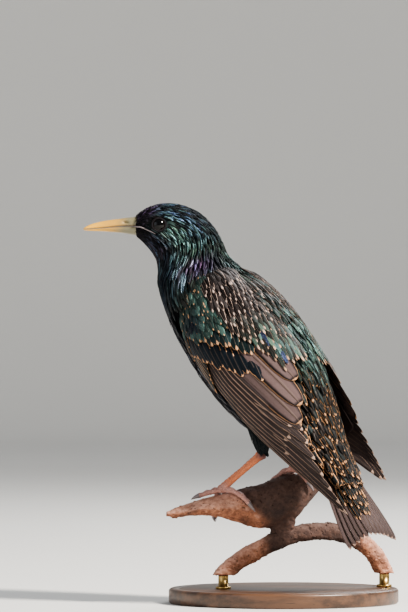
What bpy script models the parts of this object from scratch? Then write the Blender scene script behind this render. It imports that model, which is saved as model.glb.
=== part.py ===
"""Life-size starling perched on a short cut length of forged iron, on a plain display stand.

Lengths in the tables are millimetres. The bird is drawn in its own frame, x towards the breast, y to its
left and z up, and is then turned to its heading. The perch and the stand are drawn in the row's directions.
Both frames have their origin at the grip, the place where the left foot holds the iron.
"""

import functools
import math
import random

import bmesh
import bpy
import numpy as np

MM = 0.001
GAP = 0.3  # kept between neighbouring nodes
WELD = 0.002  # edges shorter than this are closed up after a Boolean
HEADING = math.radians(142.0)  # of the body, from the row's +X
GRIP = np.array((-20.0, 0.0, 53.0))  # grip in the row's frame, whose origin is the stand's underside

NECK_X = 26.0  # the head turns about a vertical line here
HEAD_TURN = 38.0  # degrees, to the bird's left
BODY_SIDES = 24

AXIS_TOP = np.array((16.0, 0.0, 95.0))  # front end of the line that the folded wings lie along
AXIS_TILT = 49.0  # degrees below the level
AXIS_STEP = 20.0  # between the wing envelope's sections

EYE_RADIUS = 4.0
EYE_AT = (44.2, 9.2, 124.8)  # head not turned
LID_RADIUS, LID_THICK, LID_OUT = 3.1, 0.5, 2.95
LID_STEPS, LID_SIDES = 16, 5
BILL_BASE_X = 56.4
NOSTRIL_AT = (59.9, 3.75, 126.0)

TAIL_ROOT = np.array((-46.0, 0.0, 29.0))
TAIL_TILT = 57.9
TAIL_LENGTH = 59.5
TAIL_ROOT_S = 15.8  # where the quills start along the tail
TAIL_YAW, TAIL_ROLL = 0.045, 0.1  # of the tail, towards the far side and rising there
TAIL_ROOF = 0.008  # how strongly it slopes down to its edges

PERCH_TURN = math.radians(14.0)
PERCH_Y = -6.4  # of the iron's middle line at x = 0
ARCH_HALF = (4.2, 4.4)  # half height and half depth of the arch's bar

BASE_RADIUS, BASE_THICK, BASE_BEVEL = 54.0, 7.0, 1.2
ARCH_CUT_Z = 13.6  # of the arch's sawn ends, above the floor
ROD_RADIUS = 2.4


def axis_station(x, z, tilt, back, belly, half_width, turn=0.0):
    """Body section square to a line tilted by so many degrees."""
    t = math.radians(tilt)
    s, c = math.sin(t), math.cos(t)
    return (x - back * s, z + back * c, x + belly * s, z - belly * c, half_width, turn)


# Back x and z, belly x and z, half width, head turn; from the tail coverts to the forehead.
BODY = [
    axis_station(-64.0, 3.0, 56, 2.2, 2.2, 9.0),
    axis_station(-58.0, 11.5, 55, 4.2, 5.6, 11.5),
    axis_station(-50.0, 22.0, 53, 7.6, 12.0, 15.0),
    axis_station(-41.0, 33.0, 51, 12.2, 20.0, 19.5),
    axis_station(-31.0, 45.0, 50, 17.5, 27.0, 24.0),
    axis_station(-20.0, 57.5, 49, 21.0, 30.5, 26.8),
    axis_station(-8.0, 70.5, 49, 22.5, 31.0, 27.8),
    axis_station(4.0, 82.5, 52, 21.2, 29.0, 27.0),
    axis_station(14.0, 92.5, 58, 17.6, 25.5, 24.5),
    (4.6, 104.8, 44.2, 94.4, 20.0, 8.0),
    (11.2, 110.0, 44.6, 102.4, 16.4, 20.0),
    (14.2, 116.6, 45.4, 108.0, 14.2, 31.0),
    (18.0, 123.6, 47.3, 111.6, 13.0, HEAD_TURN),
    (24.6, 130.4, 49.2, 114.0, 12.6, HEAD_TURN),
    (33.0, 134.2, 51.1, 116.1, 12.2, HEAD_TURN),
    (40.8, 135.1, 52.7, 117.7, 11.2, HEAD_TURN),
    (47.3, 134.0, 54.2, 118.8, 9.4, HEAD_TURN),
    (52.5, 131.4, 55.1, 119.5, 7.0, HEAD_TURN),
    (56.0, 128.6, 55.8, 120.0, 4.4, HEAD_TURN),
]
TAIL_END, TORSO_START, TORSO_END = 1.55, 1.6, 8.97
NECK_START, NECK_END = 9.03, 11.95
HEAD_START = 12.04

# Outside of the folded wings: back, belly and half width every AXIS_STEP along the axis.
ENVELOPE = [
    (16.4, 20.4, 20.4),
    (21.4, 27.4, 27.4),
    (23.9, 29.4, 29.9),
    (24.4, 28.9, 30.4),
    (22.4, 25.9, 27.9),
    (17.9, 20.4, 23.4),
    (12.9, 14.4, 18.9),
    (8.9, 9.4, 14.9),
    (6.4, 6.4, 10.4),
]

WING_TIP = 137.0  # of the longest feather, along the axis
WING_FLOOR = -3.2  # lift of the wing's inner face
CORE_TOP = -0.9
BED_FLOOR, BED_TOP = -3.75, 9.0  # lifts of the room cut into the body, its floor lower by the flats of both meshes
FAR_SHORT, FAR_RAISE, FAR_OUT = 17.9, 0.4, 13.3
FAR_START, FAR_CURVE = 80.0, 1.18
FAR_TUCK, FAR_TUCK_AT, FAR_TUCK_LONG = 3.2, 61.6, 28.8
FAR_CLOSED, FAR_CLOSED_V = 0.3, 66.0
FAR_CLOSED_AT, FAR_CLOSED_LONG = 80.0, 40.0

# Vane outlines: position along the vane, share of its half width.
HAND_VANE = ((0.0, 0.6), (0.28, 0.85), (0.56, 0.95), (0.83, 0.85), (1.0, 0.15))
LONG_VANE = ((0.0, 0.6), (0.4, 0.95), (0.83, 0.85), (1.0, 0.15))
BROAD_VANE = ((0.0, 0.6), (0.4, 0.95), (0.84, 0.86), (1.0, 0.25))
SHORT_VANE = ((0.0, 0.75), (0.72, 1.0), (1.0, 0.25))
VANE_THICK, VANE_CAMBER = 0.85, 0.35
TIP_THICK = 0.55  # share of the thickness that is left at a vane's tip
ROOT_SHARE = 0.45  # of a vane's length over which its root is sunk

# Tips of the long hand feathers and of the three broad inner ones: a and v on the folded wing.
PRIMARY_TIPS = [(133, 108), (WING_TIP, 100), (131.5, 91), (124, 83), (115.5, 76), (106.5, 69), (98, 62)]
TERTIAL_TIPS = [(91.5, 58), (84.5, 47), (71, 37)]
WING_SEED, TAIL_SEED = 23, 5
TAIL_SPREAD = {1: 2.8, -1: 3.5}  # from one tail feather's tip to the next, on each side

# Bill profiles, head not turned: x, culmen z, mouth z, lower edge z, half width.
BILL = [
    (BILL_BASE_X, 128.6, 124.1, 120.1, 4.3),
    (59.4, 128.3, 124.2, 120.6, 3.9),
    (62.6, 127.8, 124.1, 121.1, 3.3),
    (69.8, 126.8, 123.4, 121.7, 2.4),
    (75.6, 125.4, 123.0, 122.0, 1.6),
    (78.6, 124.1, 122.9, 122.2, 0.9),
    (80.0, 123.1, 122.85, 122.5, 0.35),
]
MOUTH = [(45.8, 120.5), (50.2, 122.7), (53.4, 123.8), (57.6, 124.1)]

# Forged iron under the bird: x, middle z, half height, half depth.
PERCH = [
    (-34.8, -10.6, 1.2, 1.6),
    (-31.0, -10.2, 2.6, 3.2),
    (-19.3, -8.0, 3.9, 5.4),
    (-7.5, -7.4, 6.0, 7.0),
    (1.3, -7.5, 8.9, 8.2),
    (9.9, -7.4, 10.7, 9.0),
    (16.9, -5.6, 12.0, 9.0),
    (24.4, -3.3, 11.0, 8.2),
    (30.6, 0.0, 7.8, 6.4),
    (36.2, 2.6, 4.0, 3.8),
    (40.0, 3.8, 1.5, 1.6),
]
ARCH = [
    (-21.0, -53.0),
    (-4.2, -35.5),
    (9.9, -26.8),
    (23.0, -21.6),
    (37.1, -19.5),
    (51.2, -22.1),
    (62.5, -30.1),
    (73.0, -51.0),
]
ARCH_SPLITS = (0.0, 1.8, 3.5, 5.2, 7.0)
ARCH_SPACING = 15.0  # about, between the arch's points
STEM = [((18.5, -6.0), 8.0, 6.0), ((19.2, -14.0), 6.2, 5.2), ((19.4, -22.0), 5.4, 3.6)]

ANKLE = {"left": (-23.2, 13.0, 17.9), "right": (-30.5, -15.2, 20.2)}
KNEE = {"left": (-18.0, 13.0, 40.0), "right": (-20.0, -13.5, 38.0)}
FOOT_X = {"left": -8.8, "right": 24.6}
TARSUS_RADIUS, ANKLE_RADIUS, PALM_RADIUS, TOE_RADIUS = 1.45, 2.1, 2.0, 1.55
TARSUS_SCUTES = 7
TOE_CLEAR = 0.5  # between a toe and the iron
FRONT_CLAW, HIND_CLAW = 5.4, 6.6

# Toe tips: x and angle round the iron from its top, degrees, far side positive.
TOES = {
    "left": {"middle": (-19.0, 22.0), "outer": (-11.0, 135.0), "inner": (-4.0, 88.0), "hind": (1.2, -80.0)},
    "right": {"middle": (17.5, 92.0), "outer": (26.5, 95.0), "inner": (13.5, 62.0), "hind": (29.5, -62.0)},
}

# How strongly each claw curls in towards the iron.
CLAW_FALL = {
    "left": {"middle": 0.3, "outer": 0.7, "inner": 0.7, "hind": 0.2},
    "right": {"middle": 0.5, "outer": 0.5, "inner": 0.3, "hind": 0.2},
}

# Red, green, blue, roughness and metallic value.
COLOURS = {
    "plumage": (0.020, 0.024, 0.024, 0.45, 0.0),
    "wing": (0.060, 0.045, 0.040, 0.50, 0.0),
    "bill": (0.620, 0.400, 0.130, 0.35, 0.0),
    "eye": (0.012, 0.008, 0.006, 0.05, 0.0),
    "leg": (0.480, 0.200, 0.100, 0.45, 0.0),
    "claw": (0.120, 0.090, 0.075, 0.35, 0.0),
    "iron": (0.200, 0.105, 0.080, 0.80, 0.3),
    "base": (0.045, 0.030, 0.022, 0.40, 0.0),
    "rod": (0.420, 0.330, 0.180, 0.30, 1.0),
}


def catmull(rows, at):
    """Smooth curve through rows of numbers, at positions counted in rows."""
    rows = np.asarray(rows, float)
    last = len(rows) - 1
    at = np.clip(np.asarray(at, float), 0, last)
    i = np.minimum(at.astype(int), last - 1)
    f = (at - i)[..., None]
    before, here, after, beyond = (rows[np.clip(i + k, 0, last)] for k in (-1, 0, 1, 2))
    start, end = (after - before) / 2, (beyond - here) / 2
    return (
        (2 * f**3 - 3 * f**2 + 1) * here
        + (f**3 - 2 * f**2 + f) * start
        + (3 * f**2 - 2 * f**3) * after
        + (f**3 - f**2) * end
    )


def smoothstep(x):
    x = np.clip(x, 0.0, 1.0)
    return x * x * (3 - 2 * x)


def unit(vectors):
    return vectors / np.maximum(np.linalg.norm(vectors, axis=-1, keepdims=True), 1e-12)


def turned(points, degrees):
    """Points turned to the bird's left about the neck's vertical line."""
    a = np.radians(degrees)
    x, y = points[..., 0] - NECK_X, points[..., 1]
    ahead, left = x * np.cos(a) - y * np.sin(a), x * np.sin(a) + y * np.cos(a)
    return np.stack([NECK_X + ahead, left, points[..., 2]], -1)


def section_point(stations, u, v):
    """Point of a lofted form: u counts stations, v is the angle from the back round the left side."""
    s = catmull(stations, u)
    middle = np.stack([s[..., 0] + s[..., 2], s[..., 1] + s[..., 3]], -1) / 2
    half = np.stack([s[..., 0] - s[..., 2], s[..., 1] - s[..., 3]], -1) / 2
    x = middle[..., 0] + half[..., 0] * np.cos(v)
    z = middle[..., 1] + half[..., 1] * np.cos(v)
    return turned(np.stack([x, s[..., 4] * np.sin(v), z], -1), s[..., 5])


def surface(function, lift, u, v):
    """function(u, v) pushed out along its own normal by lift."""
    step = 1e-3
    du = function(u + step, v) - function(u - step, v)
    dv = function(u, v + step) - function(u, v - step)
    return function(u, v) + unit(np.cross(du, dv)) * np.asarray(lift)[..., None]


def body_point(u, v, lift=0.0):
    u, v, lift = np.broadcast_arrays(np.asarray(u, float), np.asarray(v, float), lift)
    return surface(functools.partial(section_point, BODY), lift, u, v)


AXIS_DIRECTION = np.array((-math.cos(math.radians(AXIS_TILT)), 0.0, -math.sin(math.radians(AXIS_TILT))))
AXIS_BACK = np.array((-math.sin(math.radians(AXIS_TILT)), 0.0, math.cos(math.radians(AXIS_TILT))))
WING_STATIONS = [
    axis_station(*(AXIS_TOP + AXIS_DIRECTION * AXIS_STEP * i)[[0, 2]], AXIS_TILT, *section)
    for i, section in enumerate(ENVELOPE)
]


def wing_point(side, a, v, lift):
    """Point on the folded wing: a mm along the axis, v degrees round from the back, lift mm outwards.

    The far wing differs: it is tucked in where its inner feathers lie, its tip is folded more tightly, and
    the tip is shorter, higher and further out.
    """
    a, v, lift = np.broadcast_arrays(np.asarray(a, float), np.asarray(v, float), lift)
    far = float(side < 0)
    away = np.clip((a - FAR_START) / (WING_TIP - FAR_START), 0.0, 1.2) ** FAR_CURVE * far
    tuck = np.exp(-(((a - FAR_TUCK_AT) / FAR_TUCK_LONG) ** 2)) * far
    u = (a - FAR_SHORT * away) / AXIS_STEP
    v = v - (v - FAR_CLOSED_V) * FAR_CLOSED * smoothstep((a - FAR_CLOSED_AT) / FAR_CLOSED_LONG) * far
    # The stations run towards the tail, so the loft's own normal points inwards.
    points = surface(functools.partial(section_point, WING_STATIONS), -lift, u, np.radians(v))
    points = points * (1.0, side, 1.0)
    points = points - tuck[..., None] * AXIS_BACK * FAR_TUCK
    return points + away[..., None] * (AXIS_BACK * FAR_RAISE - np.array((0.0, FAR_OUT, 0.0)))


def tail_point(s, y, lift):
    """Point on the tail: s mm from its root, y mm to the left, lift mm towards the back."""
    s, y, lift = np.broadcast_arrays(np.asarray(s, float), np.asarray(y, float), lift)
    t = math.radians(TAIL_TILT)
    along = np.array((-math.cos(t), 0.0, -math.sin(t)))
    back = np.array((-math.sin(t), 0.0, math.cos(t)))
    left = np.array((0.0, 1.0, 0.0))
    lift = lift - TAIL_ROOF * y**2
    beside = y * math.cos(TAIL_ROLL) + lift * math.sin(TAIL_ROLL) - (s - TAIL_ROOT_S) * math.sin(TAIL_YAW)
    above = lift * math.cos(TAIL_ROLL) - y * math.sin(TAIL_ROLL)
    return TAIL_ROOT + s[..., None] * along + beside[..., None] * left + above[..., None] * back


def perch_point(x, angle, lift=0.0):
    """Point on the iron: x across the view, degrees round from its top, lift mm off its surface."""
    x, angle, lift = np.broadcast_arrays(np.asarray(x, float), np.asarray(angle, float), lift)
    rows = np.array(PERCH)
    at = np.interp(x, rows[:, 0], np.arange(len(rows)))
    _, z, high, deep = np.moveaxis(catmull(rows, at), -1, 0)
    phi = np.radians(angle)
    edge = 1.0 + 0.10 * np.cos(3 * (phi - math.radians(-105.0))) * smoothstep((8.0 - x) / 30.0)
    up, out = np.cos(phi) * high * edge, np.sin(phi) * deep * edge
    normal = unit(np.stack([np.cos(phi) / high, np.sin(phi) / deep], -1))
    up, out = up + normal[..., 0] * lift, out + normal[..., 1] * lift
    y = PERCH_Y + x * math.tan(PERCH_TURN)
    return np.stack([x - out * math.sin(PERCH_TURN), y + out * math.cos(PERCH_TURN), z + up], -1)


def to_bird(points):
    """Grip frame in the row's directions to the bird's own frame."""
    c, s = math.cos(HEADING), math.sin(HEADING)
    x, y, z = np.moveaxis(np.asarray(points, float), -1, 0)
    return np.stack([x * c + y * s, y * c - x * s, z], -1)


def from_bird(points):
    c, s = math.cos(HEADING), math.sin(HEADING)
    x, y, z = np.moveaxis(np.asarray(points, float), -1, 0)
    return np.stack([x * c - y * s, x * s + y * c, z], -1)


def make_object(name, points, faces):
    """Closed mesh object from points in the grip frame, faces turned outwards."""
    mesh = bpy.data.meshes.new(name)
    mesh.from_pydata(((np.asarray(points) + GRIP) * MM).tolist(), [], faces)
    work = bmesh.new()
    work.from_mesh(mesh)
    bmesh.ops.recalc_face_normals(work, faces=work.faces)
    work.to_mesh(mesh)
    work.free()
    obj = bpy.data.objects.new(name, mesh)
    bpy.context.scene.collection.objects.link(obj)
    return obj


def loft(name, rings, bird=True):
    """Solid through rings of points, its ends closed by fans."""
    rings = np.asarray(rings, float)
    count, sides = rings.shape[:2]
    points = np.concatenate([rings.reshape(-1, 3), rings[[0, -1]].mean(axis=1)])
    first, last = count * sides, count * sides + 1
    faces = []
    for r in range(count - 1):
        for k in range(sides):
            a, b = r * sides + k, r * sides + (k + 1) % sides
            faces += [(a, b, b + sides), (a, b + sides, a + sides)]
    for k in range(sides):
        following = (k + 1) % sides
        faces += [(first, following, k), (last, (count - 1) * sides + k, (count - 1) * sides + following)]
    return make_object(name, from_bird(points) if bird else points, faces)


def sheet(name, top, bottom, bird=True):
    """Solid between two grids of points, split into triangles alike on both faces."""
    rows, columns = top.shape[:2]
    points = np.concatenate([top.reshape(-1, 3), bottom.reshape(-1, 3)])
    under = rows * columns
    faces = []
    for r in range(rows - 1):
        for c in range(columns - 1):
            a = r * columns + c
            b, d, e = a + 1, a + columns, a + columns + 1
            tris = [(a, b, d), (b, e, d)] if c * 2 < columns - 1 else [(a, b, e), (a, e, d)]
            faces += tris + [tuple(under + i for i in reversed(t)) for t in tris]
    border = list(range(columns))
    border += [r * columns + columns - 1 for r in range(1, rows)]
    border += [(rows - 1) * columns + c for c in reversed(range(columns - 1))]
    border += [r * columns for r in reversed(range(1, rows - 1))]
    for a, b in zip(border, border[1:] + border[:1]):
        faces += [(a, a + under, b), (b, a + under, b + under)]
    return make_object(name, from_bird(points) if bird else points, faces)


def tube(name, path, radii, sides, bird=True, squash=1.0, up=(0.0, 0.0, 1.0)):
    """Round bar along a path; squash is its thickness along up against its width."""
    path = np.asarray(path, float)
    along = unit(np.gradient(path, axis=0))
    side = unit(np.cross(along, np.asarray(up, float)))
    over = unit(np.cross(side, along))
    angles = np.arange(sides) * 2 * math.pi / sides
    radii = np.asarray(radii, float)[:, None, None]
    wide, high = np.cos(angles)[:, None], np.sin(angles)[:, None] * squash
    ring = side[:, None] * wide + over[:, None] * high
    return loft(name, path[:, None] + ring * radii, bird)


def ball(name, centre, radius, bird=True, segments=16, rings=10, scale=(1.0, 1.0, 1.0)):
    """Ball of flat faces round a centre."""
    polar = np.linspace(0, math.pi, rings + 1)[1:-1]
    around = np.arange(segments) * 2 * math.pi / segments
    z = np.cos(polar)[:, None] * np.ones(segments)
    x = np.sin(polar)[:, None] * np.cos(around)
    y = np.sin(polar)[:, None] * np.sin(around)
    grid = np.stack([x, y, z], -1)
    poles = np.array([(0, 0, 1.0), (0, 0, -1.0)])
    points = np.concatenate([grid.reshape(-1, 3), poles]) * radius * np.asarray(scale) + centre
    count = rings - 1
    faces = []
    for r in range(count - 1):
        for k in range(segments):
            a, b = r * segments + k, r * segments + (k + 1) % segments
            faces += [(a, a + segments, b + segments), (a, b + segments, b)]
    top, low = count * segments, count * segments + 1
    for k in range(segments):
        following = (k + 1) % segments
        base = (count - 1) * segments
        faces += [(top, k, following), (low, base + following, base + k)]
    return make_object(name, from_bird(points) if bird else points, faces)


def combine(base, others, operation, solver="EXACT"):
    """Boolean of base with a collection of closed objects, which are then removed."""
    if not others:
        return
    group = bpy.data.collections.new("operands")
    for other in others:
        group.objects.link(other)
    modifier = base.modifiers.new(operation, "BOOLEAN")
    modifier.operation = operation
    modifier.operand_type = "COLLECTION"
    modifier.collection = group
    modifier.solver = solver
    depsgraph = bpy.context.evaluated_depsgraph_get()
    mesh = bpy.data.meshes.new_from_object(base.evaluated_get(depsgraph))
    base.modifiers.clear()
    base.data = mesh
    for other in others:
        bpy.data.objects.remove(other)
    bpy.data.collections.remove(group)


def islands(work):
    """Lists of the faces of each connected surface."""
    seen, found = set(), []
    for start in work.faces:
        if start.index in seen:
            continue
        stack, faces = [start], []
        seen.add(start.index)
        while stack:
            face = stack.pop()
            faces.append(face)
            for edge in face.edges:
                for other in edge.link_faces:
                    if other.index not in seen:
                        seen.add(other.index)
                        stack.append(other)
        found.append(faces)
    return found


def volume(faces):
    """Signed volume within triangles."""
    total = 0.0
    for face in faces:
        a, b, c = (v.co for v in face.verts)
        total += a.dot(b.cross(c)) / 6
    return abs(total)


def keep_largest(obj):
    """Triangulate and keep the largest closed surface, which drops sealed hollows and loose scraps."""
    work = bmesh.new()
    work.from_mesh(obj.data)
    bmesh.ops.triangulate(work, faces=work.faces)
    bmesh.ops.dissolve_degenerate(work, dist=WELD * MM, edges=work.edges)
    bmesh.ops.triangulate(work, faces=work.faces)
    work.faces.index_update()
    parts = islands(work)
    largest = max(parts, key=volume)
    extra = [face for part in parts if part is not largest for face in part]
    bmesh.ops.delete(work, geom=extra, context="FACES")
    work.to_mesh(obj.data)
    work.free()


def finish(obj, name, colour, smooth=40.0):
    """Name, material and shading of a finished node."""
    obj.name = obj.data.name = name
    red, green, blue, roughness, metallic = COLOURS[colour]
    material = bpy.data.materials.new(name)
    material.use_nodes = True
    shader = material.node_tree.nodes["Principled BSDF"]
    shader.inputs["Base Color"].default_value = (red, green, blue, 1.0)
    shader.inputs["Roughness"].default_value = roughness
    shader.inputs["Metallic"].default_value = metallic
    obj.data.materials.clear()
    obj.data.materials.append(material)
    obj.data.shade_smooth()
    obj.data.set_sharp_from_angle(angle=math.radians(smooth))
    return obj


def fused(name, colour, pieces, cutters=(), solver="EXACT"):
    """One node from overlapping pieces, less the cutters."""
    combine(pieces[0], pieces[1:], "UNION", solver)
    for cutter in cutters:
        combine(pieces[0], [cutter], "DIFFERENCE")
    keep_largest(pieces[0])
    return finish(pieces[0], name, colour)


def body_rings(start, end, count, lift=0.0, sides=BODY_SIDES):
    u = np.linspace(start, end, count)[:, None]
    v = np.arange(sides) * 2 * math.pi / sides
    return body_point(u, v[None, :], lift)


def wing_bed(side):
    """Room that a folded wing needs in the body."""
    a = np.linspace(1.6, WING_TIP + 3.0, 14)[:, None]
    v = np.linspace(27.0, 130.0, 9)[None, :]
    return sheet("bed", wing_point(side, a, v, BED_TOP), wing_point(side, a, v, BED_FLOOR))


def torso():
    solid = loft("torso", body_rings(TORSO_START, TORSO_END, 13))
    return fused("torso", "plumage", [solid], [wing_bed(1), wing_bed(-1)])


def neck():
    solid = loft("neck", body_rings(NECK_START, NECK_END, 6))
    return fused("neck", "plumage", [solid], [wing_bed(1), wing_bed(-1)])


def lid(side):
    """Ring of bare skin round one eye."""
    centre = np.array(EYE_AT) * (1, side, 1) + np.array((0.0, LID_OUT * side, 0.0))
    around = np.arange(LID_STEPS) * 2 * math.pi / LID_STEPS
    section = np.arange(LID_SIDES) * 2 * math.pi / LID_SIDES
    reach = LID_RADIUS + LID_THICK * np.cos(section)
    points = []
    for angle in around:
        for r, out in zip(reach, LID_THICK * np.sin(section)):
            points.append(centre + (r * math.cos(angle), out, 0.94 * r * math.sin(angle)))
    faces = []
    for i in range(LID_STEPS):
        after = (i + 1) % LID_STEPS * LID_SIDES
        for k in range(LID_SIDES):
            following = (k + 1) % LID_SIDES
            here, beside = i * LID_SIDES + k, i * LID_SIDES + following
            faces += [(here, beside, after + following), (here, after + following, after + k)]
    return make_object("lid", from_bird(turned(np.array(points), HEAD_TURN)), faces)


def mouth_slit(side):
    """Thin cutter for the line of the closed mouth behind the bill."""
    line = np.array(MOUTH)
    reach = np.array((6.5, 14.0))
    top, low = [], []
    for half, rows in ((0.2, top), (-0.2, low)):
        for x, z in line:
            rows.append([(x, side * y, z + half) for y in reach])
    top, low = (turned(np.array(rows), HEAD_TURN) for rows in (top, low))
    return sheet("slit", top, low)


def head():
    solid = loft("head", body_rings(HEAD_START, len(BODY) - 1, 13))
    sockets = [eyeball(side, EYE_RADIUS + GAP) for side in (1, -1)]
    slits = [mouth_slit(side) for side in (1, -1)]
    return fused("head", "plumage", [solid, lid(1), lid(-1)], sockets + slits)


def eyeball(side, radius):
    centre = turned(np.array(EYE_AT) * (1, side, 1), HEAD_TURN)
    return ball("eye", centre, radius, segments=14, rings=9)


def eyes():
    for side, word in ((1, "left"), (-1, "right")):
        finish(eyeball(side, EYE_RADIUS), f"eye_{word}", "eye")


def bill_rings(upper):
    """D-shaped sections of one half of the bill."""
    rings = []
    arc = np.linspace(0, math.pi, 9)
    for x, culmen, mouth, edge, width in BILL:
        start = mouth + GAP / 2 if upper else mouth - GAP / 2
        end = culmen if upper else edge
        ring = [(x, width * math.cos(t), start + (end - start) * math.sin(t) ** 0.8) for t in arc]
        rings.append(turned(np.array(ring), HEAD_TURN))
    return rings


def nostril(side):
    centre = turned(np.array(NOSTRIL_AT) * (1, side, 1), HEAD_TURN)
    return ball("nostril", centre, 1.0, segments=10, rings=6, scale=(1.2, 0.9, 0.42))


def bill():
    fused("bill_upper", "bill", [loft("bill", bill_rings(True))], [nostril(1), nostril(-1)])
    finish(loft("bill", bill_rings(False)), "bill_lower", "bill")


def vane(place, root, tip, width, outline, top, sink):
    """A flight, tail or covert feather that lies on the surface place(first, second, lift)."""
    step = 0.01
    grids = ([], [])
    root, tip = np.array(root, float), np.array(tip, float)
    for t, share in outline:
        first, second = root + (tip - root) * t
        lift = top - sink * (1 - smoothstep(t / ROOT_SHARE))
        here = place(first, second, lift)
        da = (place(first + step, second, lift) - here) / step
        db = (place(first, second + step, lift) - here) / step
        along = unit(da * (tip - root)[0] + db * (tip - root)[1])
        normal = unit(np.cross(da, db))
        across = np.cross(normal, along)
        moves = np.linalg.lstsq(np.stack([da, db], -1), across, rcond=None)[0]
        depth = VANE_THICK * (TIP_THICK + (1 - TIP_THICK) * min(1.0, 3.0 * (1 - t)))
        for rows, drop in ((grids[0], 0.0), (grids[1], depth)):
            q = np.array((-1.0, 0.0, 1.0)) * width * share
            camber = VANE_CAMBER * (1 - (q / width) ** 2)
            rows.append(place(first + q * moves[0], second + q * moves[1], lift + camber - drop))
    return sheet("vane", np.array(grids[0]), np.array(grids[1]))


def spread(start, end, count):
    """Evenly spaced rows from start to end."""
    return np.linspace(np.array(start, float), np.array(end, float), count)


def wing_core(side):
    """Sheet that the quills are rooted in, from the bend of the wing to the tips of the inner feathers."""
    along = np.array((2.0, 8.0, 18.0, 30.0, 44.0, 58.0, 70.0, 80.0))
    inner = np.interp(along, (2, 8, 18, 60, 80), (62, 46, 36, 38, 52))
    outer = np.interp(along, (2, 8, 18, 50, 80), (98, 112, 119, 119, 112))
    rim = np.linspace(0, 1, 7)
    a = np.repeat(along[:, None], 7, axis=1)
    v = inner[:, None] + (outer - inner)[:, None] * rim
    edge = np.minimum(1, 5 * np.minimum(rim, 1 - rim) + 0.25)[None, :]
    fade = np.interp(along, (2, 14, 60, 80), (0.35, 1, 1, 0.4))[:, None]
    top = WING_FLOOR + 0.5 + (CORE_TOP - WING_FLOOR - 0.5) * edge * fade
    return sheet("core", wing_point(side, a, v, top), wing_point(side, a, v, WING_FLOOR))


def feather_row(roots, tips, width, outline, lift, step, sink):
    """Feathers of one row, each lifted by step above the one before."""
    ends = enumerate(zip(roots, tips))
    return [(root, tip, width, outline, lift + step * i, sink) for i, (root, tip) in ends]


def wing_rows():
    """Feathers of a folded wing, outermost and lowest first."""
    hand = spread((46.0, 113.0), (54.0, 92.0), 7), PRIMARY_TIPS
    arm = spread((30.0, 113.0), (38.0, 86.0), 4), spread((97.0, 96.0), (91.0, 66.0), 4)
    inner = spread((42.0, 76.0), (36.0, 48.0), 3), TERTIAL_TIPS
    hand_coverts = spread((14.0, 116.0), (17.0, 108.0), 3), spread((52.0, 119.0), (40.0, 110.0), 3)
    great_coverts = spread((9.0, 106.0), (42.0, 58.0), 5), spread((29.0, 111.0), (63.0, 66.0), 5)
    middle_coverts = spread((6.0, 96.0), (34.0, 52.0), 5), spread((19.0, 103.0), (48.0, 60.0), 5)
    return [
        *feather_row(*hand, 3.4, HAND_VANE, -1.9, 0.32, 0.3),
        *feather_row(*arm, 4.6, LONG_VANE, -1.1, 0.38, 0.6),
        *feather_row(*inner, 6.0, BROAD_VANE, 0.3, 0.45, 1.6),
        *feather_row(*hand_coverts, 2.4, LONG_VANE, -0.6, 0.3, 0.9),
        *feather_row(*great_coverts, 5.6, SHORT_VANE, 0.1, 0.15, 1.3),
        *feather_row(*middle_coverts, 4.6, SHORT_VANE, 0.7, 0.1, 1.7),
    ]


def wing_vanes(side, rng):
    place = functools.partial(wing_point, side)
    pieces = []
    for root, tip, *shape in wing_rows():
        jitter = np.array((rng.uniform(-0.6, 0.6), rng.uniform(-0.5, 0.5)))
        pieces.append(vane(place, root, np.array(tip, float) + jitter, *shape))
    return pieces


def wings():
    for side, word in ((1, "left"), (-1, "right")):
        vanes = wing_vanes(side, random.Random(WING_SEED))
        fused(f"wing_{word}", "wing", [wing_core(side)] + vanes)


def tail():
    core = loft("tail", body_rings(0.0, TAIL_END, 5, sides=16))
    pieces = [core]
    rng = random.Random(TAIL_SEED)
    for k in reversed(range(6)):
        for side in (1, -1):
            root = (TAIL_ROOT_S, side * (0.7 + 1.25 * k))
            length = TAIL_LENGTH - 3.0 + 0.8 * k + rng.uniform(-0.5, 0.5)
            tip = (length if side > 0 else length - 0.35 * k, side * (1.6 + TAIL_SPREAD[side] * k))
            top = -0.42 * k - (0.25 if side < 0 else 0.0)
            pieces.append(vane(tail_point, root, tip, 3.2, LONG_VANE, top, 0.0))
    for rank, (reach, lift) in enumerate(((37.0, 1.3), (29.0, 2.2))):
        for y in np.linspace(-7.0, 7.0, 6 - rank):
            tip = (reach - 0.25 * abs(y), 1.05 * y)
            top = lift - 0.05 * abs(y) + rng.uniform(-0.2, 0.2)
            pieces.append(vane(tail_point, (TAIL_ROOT_S + 0.4, 0.6 * y), tip, 2.9, SHORT_VANE, top, 0.8))
    for y in np.linspace(-6.0, 6.0, 4):
        top = -3.4 + 0.04 * abs(y) + rng.uniform(-0.2, 0.2)
        pieces.append(vane(tail_point, (TAIL_ROOT_S + 0.4, 0.6 * y), (38.0, y), 3.0, SHORT_VANE, top, -0.8))
    return fused("tail", "wing", pieces)


def foot_point(word):
    return to_bird(perch_point(FOOT_X[word], 0.0, PALM_RADIUS + 0.45))


def tarsus_pieces(word, extra=0.0, scutes=1):
    """Shank from the ankle to the foot, stepped by the plates on its front, and the ankle's knob."""
    ankle, foot = np.array(ANKLE[word]), foot_point(word)
    path, radii = [], []
    for i in range(scutes):
        wide = TARSUS_RADIUS * (1.12 - 0.24 * math.sin(math.pi * i / scutes))
        for share, swell in ((0.02, 1.1), (0.92, 0.94 if scutes > 1 else 1.1)):
            path.append(ankle + (foot - ankle) * (i + share) / scutes)
            radii.append(wide * swell + extra)
    if extra:
        path[-1] = foot
    shank = tube("shank", path, radii, 8, squash=1.15, up=(0.5, 0.0, 1.0))
    knob = ball("knob", ankle, ANKLE_RADIUS + extra, segments=10, rings=6)
    return [shank, knob]


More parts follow.
